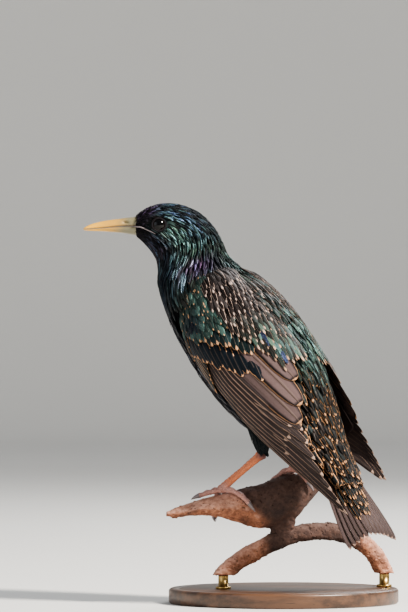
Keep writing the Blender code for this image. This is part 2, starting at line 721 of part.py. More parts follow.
def legs():
    for word in ("left", "right"):
        fused(f"tarsus_{word}", "leg", tarsus_pieces(word, scutes=TARSUS_SCUTES))
        ankle, knee = np.array(ANKLE[word]), np.array(KNEE[word])
        path = [knee + (ankle - knee) * t for t in (0.0, 0.35, 0.65, 0.85, 1.0)]
        thigh = tube("thigh", path, (6.0, 5.2, 4.3, 3.4, 2.4), 12, squash=1.1)
        clear = loft("clear", body_rings(TORSO_START - 0.5, TORSO_END, 24, GAP))
        fused(f"thigh_{word}", "plumage", [thigh], [clear] + tarsus_pieces(word, GAP))


def toe_path(word, toe):
    """Middle line of a toe over the iron and its radii, which swell at the pads."""
    end_x, end_angle = TOES[word][toe]
    t = np.linspace(0.0, 1.0, 8)
    radii = (TOE_RADIUS - 0.4 * t) * (1 + 0.10 * np.cos(t * 6 * math.pi))
    x = FOOT_X[word] + (end_x - FOOT_X[word]) * t
    return perch_point(x, end_angle * t, radii + TOE_CLEAR), radii


def feet():
    for word in ("left", "right"):
        pieces = [ball("palm", foot_point(word), PALM_RADIUS, segments=10, rings=6)]
        for toe in TOES[word]:
            path, radii = toe_path(word, toe)
            pieces.append(tube("toe", to_bird(path), radii, 7))
            claw(word, toe, path)
        fused(f"foot_{word}", "leg", pieces, tarsus_pieces(word, GAP))


def claw(word, toe, path):
    """Curved claw that carries on from a toe's end, face to face with it."""
    end_x, end_angle = TOES[word][toe]
    along = unit(path[-1] - path[-2])
    down = unit(perch_point(end_x, end_angle, 0.0) - perch_point(end_x, end_angle, 1.0))
    length = HIND_CLAW if toe == "hind" else FRONT_CLAW
    points, radii = [], []
    for t in np.linspace(0.0, 1.0, 6):
        reach = length * math.sin(t)
        fall = length * (1 - math.cos(t)) * CLAW_FALL[word][toe]
        points.append(path[-1] + along * (GAP + reach) + down * fall)
        radii.append(1.05 * (1 - t) ** 0.8 + 0.12)
    node = tube("claw", points, radii, 6, bird=False, up=tuple(-down))
    finish(node, f"claw_{word}_{toe}", "claw")


def arch_point(at):
    rows = catmull(ARCH, at)
    x, z = rows[..., 0], rows[..., 1]
    return np.stack([x, PERCH_Y + x * math.tan(PERCH_TURN), z], -1)


def arch_bar(name, start, end, extra=0.0, count=6):
    """Length of the arch's bar, rounded square in section."""
    at = np.linspace(start, end, count)
    path = arch_point(at)
    along = unit(arch_point(at + 0.01) - arch_point(at - 0.01))
    deep = np.array((-math.sin(PERCH_TURN), math.cos(PERCH_TURN), 0.0))
    high = unit(np.cross(deep, along))
    angles = (np.arange(12) + 0.5) * math.pi / 6
    shape = np.stack([np.cos(angles), np.sin(angles)], -1)
    shape = np.sign(shape) * np.abs(shape) ** 0.7
    half_high, half_deep = (half + extra for half in ARCH_HALF)
    ring = high[:, None] * shape[None, :, :1] * half_high + deep * shape[None, :, 1:] * half_deep
    return loft(name, path[:, None] + ring, bird=False)


def below(height):
    """Large block under a level, in the grip frame."""
    z = height - GRIP[2]
    ring = np.array([(150.0, 150.0), (-150.0, 150.0), (-150.0, -150.0), (150.0, -150.0)])
    rings = [np.column_stack([ring, np.full(4, level)]) for level in (z - 200.0, z)]
    return loft("below", rings, bird=False)


def perch():
    rows = np.array(PERCH)
    x = catmull(rows, np.linspace(0, len(rows) - 1, 17))[:, 0]
    angles = np.arange(16) * 360.0 / 16
    blade = loft("blade", perch_point(x[:, None], angles[None, :]), bird=False)
    around = np.arange(14) * 2 * math.pi / 14
    rings = []
    for (px, z), wide, deep in STEM:
        ring = np.stack([wide * np.cos(around), deep * np.sin(around), np.zeros(14)], -1)
        rings.append(ring + (px, PERCH_Y + px * math.tan(PERCH_TURN), z))
    stem = loft("stem", rings, bird=False)
    clear = arch_bar("clear", 1.0, 5.0, GAP, 16)
    fused("perch_finial", "iron", [blade, stem], [clear])
    for i, (start, end) in enumerate(zip(ARCH_SPLITS, ARCH_SPLITS[1:])):
        trim = GAP / ARCH_SPACING
        bar = arch_bar("arch", start + trim, end - trim)
        fused(f"perch_arch_{i + 1}", "iron", [bar], [below(ARCH_CUT_Z)])


def turned_disc(name, profile, centre, sides=48):
    """Solid of revolution about a vertical line; profile is radius and height above the floor."""
    around = np.arange(sides) * 2 * math.pi / sides
    rings = []
    for radius, z in profile:
        ring = np.stack([radius * np.cos(around), radius * np.sin(around), np.full(sides, z)], -1)
        rings.append(ring + (centre[0], centre[1], 0.0) - GRIP)
    return loft(name, rings, bird=False)


def arch_end(first):
    """Middle of the arch's sawn end, in the row's frame."""
    at = np.linspace(0.0, 1.0, 200) if first else np.linspace(6.0, 7.0, 200)
    points = arch_point(at) + GRIP
    return points[np.argmin(np.abs(points[:, 2] - ARCH_CUT_Z))]


def stand():
    rim = BASE_RADIUS - BASE_BEVEL
    profile = [(BASE_RADIUS, 0.0), (BASE_RADIUS, BASE_THICK - BASE_BEVEL), (rim, BASE_THICK)]
    finish(turned_disc("base", profile, (0.0, 0.0)), "stand_base", "base")
    for word, first in (("left", True), ("right", False)):
        x, y, _ = arch_end(first)
        profile = [(ROD_RADIUS, BASE_THICK + GAP), (ROD_RADIUS, ARCH_CUT_Z - GAP)]
        finish(turned_disc("rod", profile, (x, y), 20), f"stand_rod_{word}", "rod")


def main():
    for obj in list(bpy.data.objects):
        bpy.data.objects.remove(obj)
    torso()
    neck()
    head()
    eyes()
    bill()
    wings()
    tail()
    legs()
    feet()
    perch()
    stand()


main()
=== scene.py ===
"""Looks of the perched starling: skin and feathers, bare parts, the iron it grips and its display stand."""

import functools
import math

import bmesh
import bpy
import numpy as np
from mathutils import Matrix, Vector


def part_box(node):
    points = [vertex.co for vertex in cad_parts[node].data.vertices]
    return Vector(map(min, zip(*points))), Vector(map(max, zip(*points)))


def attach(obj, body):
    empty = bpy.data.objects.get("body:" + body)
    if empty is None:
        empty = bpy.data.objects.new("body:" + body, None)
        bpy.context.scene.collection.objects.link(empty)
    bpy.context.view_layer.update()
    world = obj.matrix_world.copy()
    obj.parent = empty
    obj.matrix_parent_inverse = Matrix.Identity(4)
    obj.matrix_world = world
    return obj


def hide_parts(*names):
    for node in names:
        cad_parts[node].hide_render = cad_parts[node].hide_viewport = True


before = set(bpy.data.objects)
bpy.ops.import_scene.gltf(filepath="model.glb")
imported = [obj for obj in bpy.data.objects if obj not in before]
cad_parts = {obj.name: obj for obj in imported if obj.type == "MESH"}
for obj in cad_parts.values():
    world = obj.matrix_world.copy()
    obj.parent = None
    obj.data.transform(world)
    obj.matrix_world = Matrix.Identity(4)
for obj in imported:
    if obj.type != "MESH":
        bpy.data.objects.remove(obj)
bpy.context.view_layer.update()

# Lengths are millimetres until a mesh is made. The bird's own frame has x towards the breast, y to its left
# and z up, from the place where the left foot grips the iron.
MM = 0.001
HEADING = math.radians(142.0)
GRIP = np.array((-20.0, 0.0, 53.0))
NECK_X = 26.0
HEAD_TURN = 38.0

AXIS_TOP = np.array((16.0, 0.0, 95.0))
AXIS_TILT = 49.0
AXIS_STEP = 20.0
WING_TIP = 137.0
WING_FLOOR = -3.2
FAR_SHORT, FAR_RAISE, FAR_OUT = 17.9, 0.4, 13.3
FAR_START, FAR_CURVE = 80.0, 1.18
FAR_TUCK, FAR_TUCK_AT, FAR_TUCK_LONG = 3.2, 61.6, 28.8
FAR_CLOSED, FAR_CLOSED_V = 0.3, 66.0
FAR_CLOSED_AT, FAR_CLOSED_LONG = 80.0, 40.0

EYE_RADIUS = 4.0
EYE_AT = (44.2, 9.2, 124.8)
LID_RADIUS, LID_THICK, LID_OUT = 3.1, 0.5, 2.95
BILL_BASE_X = 56.4
NOSTRIL_AT = (59.9, 3.75, 126.0)

TAIL_ROOT = np.array((-46.0, 0.0, 29.0))
TAIL_TILT = 57.9
TAIL_LENGTH = 59.5
TAIL_ROOT_S = 15.8
TAIL_YAW, TAIL_ROLL, TAIL_ROOF = 0.045, 0.1, 0.008
TAIL_SPREAD = {1: 2.8, -1: 3.5}

PERCH_TURN = math.radians(14.0)
PERCH_Y = -6.4
ARCH_HALF = (4.2, 4.4)
ARCH_CUT_Z = 13.6
BASE_RADIUS, BASE_THICK = 54.0, 7.0
ROD_RADIUS = 2.4
GAP = 0.3

CAMERA_AT = (-37.4, -2500.0, 139.5)
VIEW_HEIGHT = 287.64  # seen from top to bottom at the bird
VIEW_LOOK = "AgX - Medium High Contrast"
LIT_AT = (-0.02, 0.0, 0.12)
# Place, size, power and colour, in metres and watts.
LIGHTS = {
    "key": ((1.05, -0.72, 1.10), 0.26, 70.0, (1.0, 0.95, 0.88)),
    "fill": ((-1.2, -1.0, 0.5), 1.2, 5.0, (0.88, 0.94, 1.0)),
    "back": ((0.5, 1.0, 0.9), 0.8, 9.0, (1.0, 1.0, 1.0)),
}
SKY_COLOUR, SKY_STRENGTH = (0.80, 0.84, 0.90, 1.0), 0.42

COAT_DEPTH, FACE_DEPTH = 1.5, 0.6
BAKE_PATCH = 0.003
SIDES = ((1, "left"), (-1, "right"))

# Painted shadow of the bird on the iron: x where it fades in and out, and the height from which it leans, in
# metres.
PAINTED_SHADOW_FROM, PAINTED_SHADOW_TO, PAINTED_SHADOW_ABOVE = (-0.006, 0.001), (0.044, 0.036), 0.039


def axis_station(x, z, tilt, back, belly, half_width, turn=0.0):
    """Body section square to a line tilted by so many degrees."""
    t = math.radians(tilt)
    s, c = math.sin(t), math.cos(t)
    return (x - back * s, z + back * c, x + belly * s, z - belly * c, half_width, turn)


# Back x and z, belly x and z, half width, head turn; from the tail coverts to the forehead.
BODY = [
    axis_station(-64.0, 3.0, 56, 2.2, 2.2, 9.0),
    axis_station(-58.0, 11.5, 55, 4.2, 5.6, 11.5),
    axis_station(-50.0, 22.0, 53, 7.6, 12.0, 15.0),
    axis_station(-41.0, 33.0, 51, 12.2, 20.0, 19.5),
    axis_station(-31.0, 45.0, 50, 17.5, 27.0, 24.0),
    axis_station(-20.0, 57.5, 49, 21.0, 30.5, 26.8),
    axis_station(-8.0, 70.5, 49, 22.5, 31.0, 27.8),
    axis_station(4.0, 82.5, 52, 21.2, 29.0, 27.0),
    axis_station(14.0, 92.5, 58, 17.6, 25.5, 24.5),
    (4.6, 104.8, 44.2, 94.4, 20.0, 8.0),
    (11.2, 110.0, 44.6, 102.4, 16.4, 20.0),
    (14.2, 116.6, 45.4, 108.0, 14.2, 31.0),
    (18.0, 123.6, 47.3, 111.6, 13.0, HEAD_TURN),
    (24.6, 130.4, 49.2, 114.0, 12.6, HEAD_TURN),
    (33.0, 134.2, 51.1, 116.1, 12.2, HEAD_TURN),
    (40.8, 135.1, 52.7, 117.7, 11.2, HEAD_TURN),
    (47.3, 134.0, 54.2, 118.8, 9.4, HEAD_TURN),
    (52.5, 131.4, 55.1, 119.5, 7.0, HEAD_TURN),
    (56.0, 128.6, 55.8, 120.0, 4.4, HEAD_TURN),
]
BODY_END = len(BODY) - 1.0

# Outside of the folded wings: back, belly and half width every AXIS_STEP along the axis.
ENVELOPE = [
    (16.4, 20.4, 20.4),
    (21.4, 27.4, 27.4),
    (23.9, 29.4, 29.9),
    (24.4, 28.9, 30.4),
    (22.4, 25.9, 27.9),
    (17.9, 20.4, 23.4),
    (12.9, 14.4, 18.9),
    (8.9, 9.4, 14.9),
    (6.4, 6.4, 10.4),
]

# Bill profiles, head not turned: x, culmen z, mouth z, lower edge z, half width.
BILL = [
    (54.2, 129.2, 124.0, 119.8, 4.9),
    (BILL_BASE_X, 128.6, 124.1, 120.1, 4.3),
    (59.4, 128.3, 124.2, 120.6, 3.9),
    (62.6, 127.8, 124.1, 121.1, 3.3),
    (69.8, 126.8, 123.4, 121.7, 2.4),
    (75.6, 125.4, 123.0, 122.0, 1.6),
    (78.6, 124.1, 122.9, 122.2, 0.9),
    (80.0, 123.1, 122.85, 122.5, 0.35),
]
MOUTH = [(45.8, 120.5), (50.2, 122.7), (53.4, 123.8), (57.6, 124.1)]

# Forged iron under the bird: x, middle z, half height, half depth.
PERCH = [
    (-34.8, -10.6, 1.2, 1.6),
    (-31.0, -10.2, 2.6, 3.2),
    (-19.3, -8.0, 3.9, 5.4),
    (-7.5, -7.4, 6.0, 7.0),
    (1.3, -7.5, 8.9, 8.2),
    (9.9, -7.4, 10.7, 9.0),
    (16.9, -5.6, 12.0, 9.0),
    (24.4, -3.3, 11.0, 8.2),
    (30.6, 0.0, 7.8, 6.4),
    (36.2, 2.6, 4.0, 3.8),
    (40.0, 3.8, 1.5, 1.6),
]
# Middle line of the arch: x, z.
ARCH = [
    (-21.0, -53.0),
    (-4.2, -35.5),
    (9.9, -26.8),
    (23.0, -21.6),
    (37.1, -19.5),
    (51.2, -22.1),
    (62.5, -30.1),
    (73.0, -51.0),
]
# Stem between leaf and arch: x, middle z, half width, half depth.
STEM = [(18.5, -6.0, 8.0, 6.0), (19.2, -14.0, 6.2, 5.2), (19.4, -22.0, 5.4, 3.6)]

ANKLE = {"left": (-23.2, 13.0, 17.9), "right": (-30.5, -15.2, 20.2)}
KNEE = {"left": (-18.0, 13.0, 40.0), "right": (-20.0, -13.5, 38.0)}
FOOT_X = {"left": -8.8, "right": 24.6}
TARSUS_RADIUS, ANKLE_RADIUS, PALM_RADIUS, TOE_RADIUS = 1.45, 2.1, 2.0, 1.55
TOE_CLEAR = 0.5
FRONT_CLAW, HIND_CLAW = 5.4, 6.6
TOES = {
    "left": {"middle": (-19.0, 22.0), "outer": (-11.0, 135.0), "inner": (-4.0, 88.0), "hind": (1.2, -80.0)},
    "right": {"middle": (17.5, 92.0), "outer": (26.5, 95.0), "inner": (13.5, 62.0), "hind": (29.5, -62.0)},
}
CLAW_FALL = {
    "left": {"middle": 0.3, "outer": 0.7, "inner": 0.7, "hind": 0.2},
    "right": {"middle": 0.5, "outer": 0.5, "inner": 0.3, "hind": 0.2},
}


def catmull(rows, at):
    """Smooth curve through rows of numbers, at positions counted in rows."""
    rows = np.asarray(rows, float)
    last = len(rows) - 1
    at = np.clip(np.asarray(at, float), 0, last)
    i = np.minimum(at.astype(int), last - 1)
    f = (at - i)[..., None]
    before, here, after, beyond = (rows[np.clip(i + k, 0, last)] for k in (-1, 0, 1, 2))
    start, end = (after - before) / 2, (beyond - here) / 2
    return (
        (2 * f**3 - 3 * f**2 + 1) * here
        + (f**3 - 2 * f**2 + f) * start
        + (3 * f**2 - 2 * f**3) * after
        + (f**3 - f**2) * end
    )


def smoothstep(x):
    x = np.clip(x, 0.0, 1.0)
    return x * x * (3 - 2 * x)


def unit(vectors):
    return vectors / np.maximum(np.linalg.norm(vectors, axis=-1, keepdims=True), 1e-12)


def turned(points, degrees):
    """Points turned to the bird's left about the neck's vertical line."""
    a = np.radians(degrees)
    x, y = points[..., 0] - NECK_X, points[..., 1]
    ahead, left = x * np.cos(a) - y * np.sin(a), x * np.sin(a) + y * np.cos(a)
    return np.stack([NECK_X + ahead, left, points[..., 2]], -1)


def section_point(stations, u, v):
    """Point of a lofted form: u counts stations, v is the angle from the back round the left side."""
    s = catmull(stations, u)
    middle = np.stack([s[..., 0] + s[..., 2], s[..., 1] + s[..., 3]], -1) / 2
    half = np.stack([s[..., 0] - s[..., 2], s[..., 1] - s[..., 3]], -1) / 2
    x = middle[..., 0] + half[..., 0] * np.cos(v)
    z = middle[..., 1] + half[..., 1] * np.cos(v)
    return turned(np.stack([x, s[..., 4] * np.sin(v), z], -1), s[..., 5])


def surface(function, lift, u, v):
    """function(u, v) pushed out along its own normal by lift."""
    step = 1e-3
    du = function(u + step, v) - function(u - step, v)
    dv = function(u, v + step) - function(u, v - step)
    return function(u, v) + unit(np.cross(du, dv)) * np.asarray(lift)[..., None]


def body_point(u, v, lift=0.0):
    u, v, lift = np.broadcast_arrays(np.asarray(u, float), np.asarray(v, float), lift)
    return surface(functools.partial(section_point, BODY), lift, np.clip(u, 0.01, BODY_END - 0.01), v)


AXIS_DIRECTION = np.array((-math.cos(math.radians(AXIS_TILT)), 0.0, -math.sin(math.radians(AXIS_TILT))))
AXIS_BACK = np.array((-math.sin(math.radians(AXIS_TILT)), 0.0, math.cos(math.radians(AXIS_TILT))))
WING_STATIONS = [
    axis_station(*(AXIS_TOP + AXIS_DIRECTION * AXIS_STEP * i)[[0, 2]], AXIS_TILT, *section)
    for i, section in enumerate(ENVELOPE)
]


def wing_point(side, a, v, lift):
    """Point on the folded wing: a mm along the axis, v degrees round from the back, lift mm outwards.

    The far wing differs: it is tucked in where its inner feathers lie, its tip is folded more tightly, and
    the tip is shorter, higher and further out.
    """
    a, v, lift = np.broadcast_arrays(np.asarray(a, float), np.asarray(v, float), lift)
    far = float(side < 0)
    away = np.clip((a - FAR_START) / (WING_TIP - FAR_START), 0.0, 1.2) ** FAR_CURVE * far
    tuck = np.exp(-(((a - FAR_TUCK_AT) / FAR_TUCK_LONG) ** 2)) * far
    u = (a - FAR_SHORT * away) / AXIS_STEP
    v = v - (v - FAR_CLOSED_V) * FAR_CLOSED * smoothstep((a - FAR_CLOSED_AT) / FAR_CLOSED_LONG) * far
    # The stations run towards the tail, so the loft's own normal points inwards.
    points = surface(functools.partial(section_point, WING_STATIONS), -lift, u, np.radians(v))
    points = points * (1.0, side, 1.0)
    points = points - tuck[..., None] * AXIS_BACK * FAR_TUCK
    return points + away[..., None] * (AXIS_BACK * FAR_RAISE - np.array((0.0, FAR_OUT, 0.0)))


def tail_point(s, y, lift):
    """Point on the tail: s mm from its root, y mm to the left, lift mm towards the back."""
    s, y, lift = np.broadcast_arrays(np.asarray(s, float), np.asarray(y, float), lift)
    t = math.radians(TAIL_TILT)
    along = np.array((-math.cos(t), 0.0, -math.sin(t)))
    back = np.array((-math.sin(t), 0.0, math.cos(t)))
    left = np.array((0.0, 1.0, 0.0))
    lift = lift - TAIL_ROOF * y**2
    beside = y * math.cos(TAIL_ROLL) + lift * math.sin(TAIL_ROLL) - (s - TAIL_ROOT_S) * math.sin(TAIL_YAW)
    above = lift * math.cos(TAIL_ROLL) - y * math.sin(TAIL_ROLL)
    return TAIL_ROOT + s[..., None] * along + beside[..., None] * left + above[..., None] * back


def perch_point(x, angle, lift=0.0):
    """Point on the iron: x across the view, degrees round from its top, lift mm off its surface."""
    x, angle, lift = np.broadcast_arrays(np.asarray(x, float), np.asarray(angle, float), lift)
    rows = np.array(PERCH)
    at = np.interp(x, rows[:, 0], np.arange(len(rows)))
    _, z, high, deep = np.moveaxis(catmull(rows, at), -1, 0)
    phi = np.radians(angle)
    edge = 1.0 + 0.10 * np.cos(3 * (phi - math.radians(-105.0))) * smoothstep((8.0 - x) / 30.0)
    up, out = np.cos(phi) * high * edge, np.sin(phi) * deep * edge
    normal = unit(np.stack([np.cos(phi) / high, np.sin(phi) / deep], -1))
    up, out = up + normal[..., 0] * lift, out + normal[..., 1] * lift
    y = PERCH_Y + x * math.tan(PERCH_TURN)
    return np.stack([x - out * math.sin(PERCH_TURN), y + out * math.cos(PERCH_TURN), z + up], -1)


def to_bird(points):
    """Grip frame in the row's directions to the bird's own frame."""
    c, s = math.cos(HEADING), math.sin(HEADING)
    x, y, z = np.moveaxis(np.asarray(points, float), -1, 0)
    return np.stack([x * c + y * s, y * c - x * s, z], -1)


def from_bird(points):
    c, s = math.cos(HEADING), math.sin(HEADING)
    x, y, z = np.moveaxis(np.asarray(points, float), -1, 0)
    return np.stack([x * c - y * s, x * s + y * c, z], -1)


def ripple(points, wavelength, seed, waves=14):
    """Smooth uneven field from -1 to 1 about, from a few plane waves."""
    rng = np.random.default_rng(seed)
    total = np.zeros(points.shape[:-1])
    for _ in range(waves):
        direction = unit(rng.normal(size=3))
        size = wavelength * rng.uniform(0.6, 1.6)
        total += np.sin(points @ direction * 2 * math.pi / size + rng.uniform(0, 2 * math.pi))
    return total / math.sqrt(waves)


# Meshes


def mesh_object(name, points, faces, material, bird=True):
    """Smooth mesh object from points in the grip frame or the bird's own."""
    points = from_bird(points) if bird else np.asarray(points, float)
    mesh = bpy.data.meshes.new(name)
    mesh.from_pydata(((points + GRIP) * MM).tolist(), [], faces)
    mesh.shade_smooth()
    mesh.materials.append(material)
    obj = bpy.data.objects.new(name, mesh)
    bpy.context.scene.collection.objects.link(obj)
    return obj


def set_uv(obj, name, per_vertex):
    mesh = obj.data
    index = np.zeros(len(mesh.loops), np.int32)
    mesh.loops.foreach_get("vertex_index", index)
    layer = mesh.uv_layers.new(name=name)
    layer.data.foreach_set("uv", np.asarray(per_vertex, np.float32)[index].ravel())


def set_colour(obj, name, per_vertex):
    attribute = obj.data.attributes.new(name, "FLOAT_COLOR", "POINT")
    attribute.data.foreach_set("color", np.asarray(per_vertex, np.float32).ravel())


def outward(obj):
    """Turns every face of a closed piece outwards."""
    work = bmesh.new()
    work.from_mesh(obj.data)
    bmesh.ops.recalc_face_normals(work, faces=work.faces)
    work.to_mesh(obj.data)
    work.free()
    return obj


def ring_faces(count, sides):
    """Quads and end caps of a tube of rings."""
    faces = []
    for r in range(count - 1):
        for k in range(sides):
            a, b = r * sides + k, r * sides + (k + 1) % sides
            faces.append((a, b, b + sides, a + sides))
    faces.append(tuple(range(sides))[::-1])
    faces.append(tuple(range((count - 1) * sides, count * sides)))
    return faces


def loft(name, rings, material, bird=True):
    rings = np.asarray(rings, float)
    count, sides = rings.shape[:2]
    return outward(mesh_object(name, rings.reshape(-1, 3), ring_faces(count, sides), material, bird))


def tube_rings(path, radii, sides, squash=1.0, up=(0.0, 0.0, 1.0)):
    """Rings round a path; squash is its thickness along up against its width."""
    path = np.asarray(path, float)
    along = unit(np.gradient(path, axis=0))
    side = unit(np.cross(along, np.asarray(up, float)))
    over = unit(np.cross(side, along))
    angles = np.arange(sides) * 2 * math.pi / sides
    wide, high = np.cos(angles)[:, None], np.sin(angles)[:, None] * squash
    ring = side[:, None] * wide + over[:, None] * high
    return path[:, None] + ring * np.asarray(radii, float)[:, None, None]


def join(name, objects):
    """One object from several that share a material."""
    work = bmesh.new()
    for obj in objects:
        work.from_mesh(obj.data)
    work.to_mesh(objects[0].data)
    work.free()
    for obj in objects[1:]:
        bpy.data.objects.remove(obj)
    objects[0].name = objects[0].data.name = name
    return objects[0]


def place_piece(obj, slot, *nodes):
    """Fastens a finished piece to the one body and hides the solids it stands for."""
    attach(obj, "root")
    if nodes:
        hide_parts(*nodes)
    return obj


# Shader nodes


def node(tree, kind, inputs=None, **settings):
    """A shader or geometry node with its settings, and inputs that are values or other sockets."""
    made = tree.nodes.new(kind)
    for key, value in settings.items():
        setattr(made, key, value)
    for key, value in (inputs or {}).items():
        if isinstance(value, bpy.types.NodeSocket):
            tree.links.new(value, made.inputs[key])
        else:
            made.inputs[key].default_value = value
    return made


def math_node(tree, operation, a, b=0.0, c=0.0):
    return node(tree, "ShaderNodeMath", {0: a, 1: b, 2: c}, operation=operation).outputs[0]


def times(tree, a, b):
    return math_node(tree, "MULTIPLY", a, b)


def minus(tree, a, b):
    return math_node(tree, "SUBTRACT", a, b)


def times_plus(tree, a, b, c):
    """a times b, plus c."""
    return math_node(tree, "MULTIPLY_ADD", a, b, c)


def ramp(tree, value, low, high):
    """0 below low, 1 above high, smooth between."""
    inputs = {"Value": value, "From Min": low, "From Max": high}
    return node(tree, "ShaderNodeMapRange", inputs, interpolation_type="SMOOTHSTEP").outputs["Result"]


def mixed(tree, factor, a, b):
    """Colour a where factor is 0, b where it is 1."""
    return node(tree, "ShaderNodeMix", {0: factor, 6: a, 7: b}, data_type="RGBA").outputs[2]


def noise(tree, vector, scale, detail=4.0, rough=0.55):
    inputs = {"Vector": vector, "Scale": scale, "Detail": detail, "Roughness": rough}
    return node(tree, "ShaderNodeTexNoise", inputs).outputs["Fac"]


def object_place(tree):
    return node(tree, "ShaderNodeTexCoord").outputs["Object"]


def stretched(tree, place, scale):
    return node(tree, "ShaderNodeMapping", {"Vector": place, "Scale": scale}).outputs[0]


def components(tree, vector):
    return node(tree, "ShaderNodeSeparateXYZ", {0: vector}).outputs


def attribute(tree, name):
    return node(tree, "ShaderNodeAttribute", attribute_name=name).outputs


def along_channels(tree):
    """Red, green and blue of the Along attribute as numbers."""
    return node(tree, "ShaderNodeSeparateColor", {0: attribute(tree, "Along")["Color"]}).outputs


def new_material(name, **values):
    """Material with a Principled shader, its plain values set on the shader's own sockets."""
    material = bpy.data.materials.new(name)
    material.use_nodes = True
    shader = material.node_tree.nodes["Principled BSDF"]
    for key, value in values.items():
        shader.inputs[key.replace("_", " ").title().replace("Ior", "IOR")].default_value = value
    return material, material.node_tree, shader


def feed(tree, shader, colour, rough=None, height=None, depth=0.0):
    """Links a colour, a roughness and a bump of so many metres into a shader."""
    tree.links.new(colour, shader.inputs["Base Color"])
    if rough is not None:
        tree.links.new(rough, shader.inputs["Roughness"])
    if height is not None:
        bump = node(tree, "ShaderNodeBump", {"Height": height, "Distance": depth})
        tree.links.new(bump.outputs[0], shader.inputs["Normal"])


def feather_marks():
    """Markings of one vane: shaft, barbs, gloss, a pale fringe and a dark line inside it, and a tip spot."""
    tree = bpy.data.node_groups.new("Feather marks", "ShaderNodeTree")
    for label, value in (("Barbs", 30.0), ("Dark Line", 0.0), ("Shaft", 0.5), ("Spot Narrow", 0.6)):
        socket = tree.interface.new_socket(label, in_out="INPUT", socket_type="NodeSocketFloat")
        socket.default_value = value
    tree.interface.new_socket("Color", in_out="OUTPUT", socket_type="NodeSocketColor")
    for label in ("Metallic", "Roughness", "Height"):
        tree.interface.new_socket(label, in_out="OUTPUT", socket_type="NodeSocketFloat")
    given = tree.nodes.new("NodeGroupInput").outputs
    result = tree.nodes.new("NodeGroupOutput").inputs

    vane = components(tree, node(tree, "ShaderNodeUVMap", uv_map="Vane").outputs[0])
    across = math_node(tree, "ABSOLUTE", times_plus(tree, vane[0], 2.0, -1.0))
    along = vane[1]
    ground, gloss, spot = (attribute(tree, name) for name in ("Ground", "Gloss", "Spot"))
    cloudy = noise(tree, object_place(tree), 260.0, 3.0)

    slant = times_plus(tree, across, -0.16, along)
    wander = times_plus(tree, cloudy, 0.05, slant)
    phase = times(tree, times(tree, wander, given["Barbs"]), 2 * math.pi)
    barb = times_plus(tree, math_node(tree, "SINE", phase), 0.5, 0.5)
    shaft = minus(tree, 1.0, ramp(tree, across, 0.04, 0.13))

    rim = math_node(tree, "MAXIMUM", across, ramp(tree, along, 0.86, 1.0))
    fringe_from = minus(tree, 1.0, gloss["Alpha"])
    soft = times_plus(tree, cloudy, 0.10, minus(tree, rim, 0.05))
    has_fringe = ramp(tree, gloss["Alpha"], 0.0, 0.04)
    fringe = times(tree, ramp(tree, minus(tree, soft, fringe_from), 0.0, 0.05), has_fringe)
    inner = ramp(tree, minus(tree, soft, minus(tree, fringe_from, 0.34)), 0.0, 0.28)
    dark_line = times(tree, inner, given["Dark Line"])

    inside = minus(tree, along, minus(tree, 1.0, spot["Alpha"]))
    taper = times(tree, across, times(tree, given["Spot Narrow"], spot["Alpha"]))
    spotted = ramp(tree, minus(tree, inside, taper), 0.0, 0.06)
    spotted = times(tree, spotted, ramp(tree, spot["Alpha"], 0.0, 0.03))
    pale = math_node(tree, "MAXIMUM", spotted, fringe)

    base = mixed(tree, ground["Alpha"], ground["Color"], gloss["Color"])
    shade = mixed(tree, times(tree, barb, 0.35), base, (0.004, 0.004, 0.005, 1.0))
    shade = mixed(tree, dark_line, shade, (0.012, 0.009, 0.010, 1.0))
    shade = mixed(tree, times(tree, shaft, given["Shaft"]), shade, (0.10, 0.07, 0.055, 1.0))
    fleck = mixed(tree, times(tree, cloudy, 0.35), spot["Color"], (0.25, 0.14, 0.08, 1.0))
    glossy = times(tree, ground["Alpha"], minus(tree, 1.0, pale))
    tree.links.new(mixed(tree, pale, shade, fleck), result["Color"])
    tree.links.new(glossy, result["Metallic"])
    tree.links.new(times_plus(tree, glossy, -0.30, 0.62), result["Roughness"])
    tree.links.new(times_plus(tree, shaft, 1.2, times(tree, barb, 0.45)), result["Height"])
    return tree


FEATHER_MARKS = feather_marks()


def feather_material(name, barbs, dark_line=0.0, shaft=0.4, narrow=0.6, depth=0.00012):
    material, tree, shader = new_material(name, specular_ior_level=0.14)
    inputs = {"Barbs": barbs, "Dark Line": dark_line, "Shaft": shaft, "Spot Narrow": narrow}
    marks = node(tree, "ShaderNodeGroup", inputs, node_tree=FEATHER_MARKS).outputs
    tree.links.new(marks["Metallic"], shader.inputs["Metallic"])
    feed(tree, shader, marks["Color"], marks["Roughness"], marks["Height"], depth)
    return material


def skin_material():
    """Dark skin under the coat, with the coat's own markings."""
    material, tree, shader = new_material("Skin", specular_ior_level=0.1)
    ground, gloss = attribute(tree, "Ground"), attribute(tree, "Gloss")
    fine = noise(tree, object_place(tree), 900.0)
    marked = mixed(tree, times(tree, ground["Alpha"], 0.35), ground["Color"], gloss["Color"])
    colour = mixed(tree, times(tree, fine, 0.5), marked, (0.004, 0.004, 0.004, 1.0))
    feed(tree, shader, colour, times_plus(tree, fine, 0.3, 0.6), fine, 0.0002)
    return material


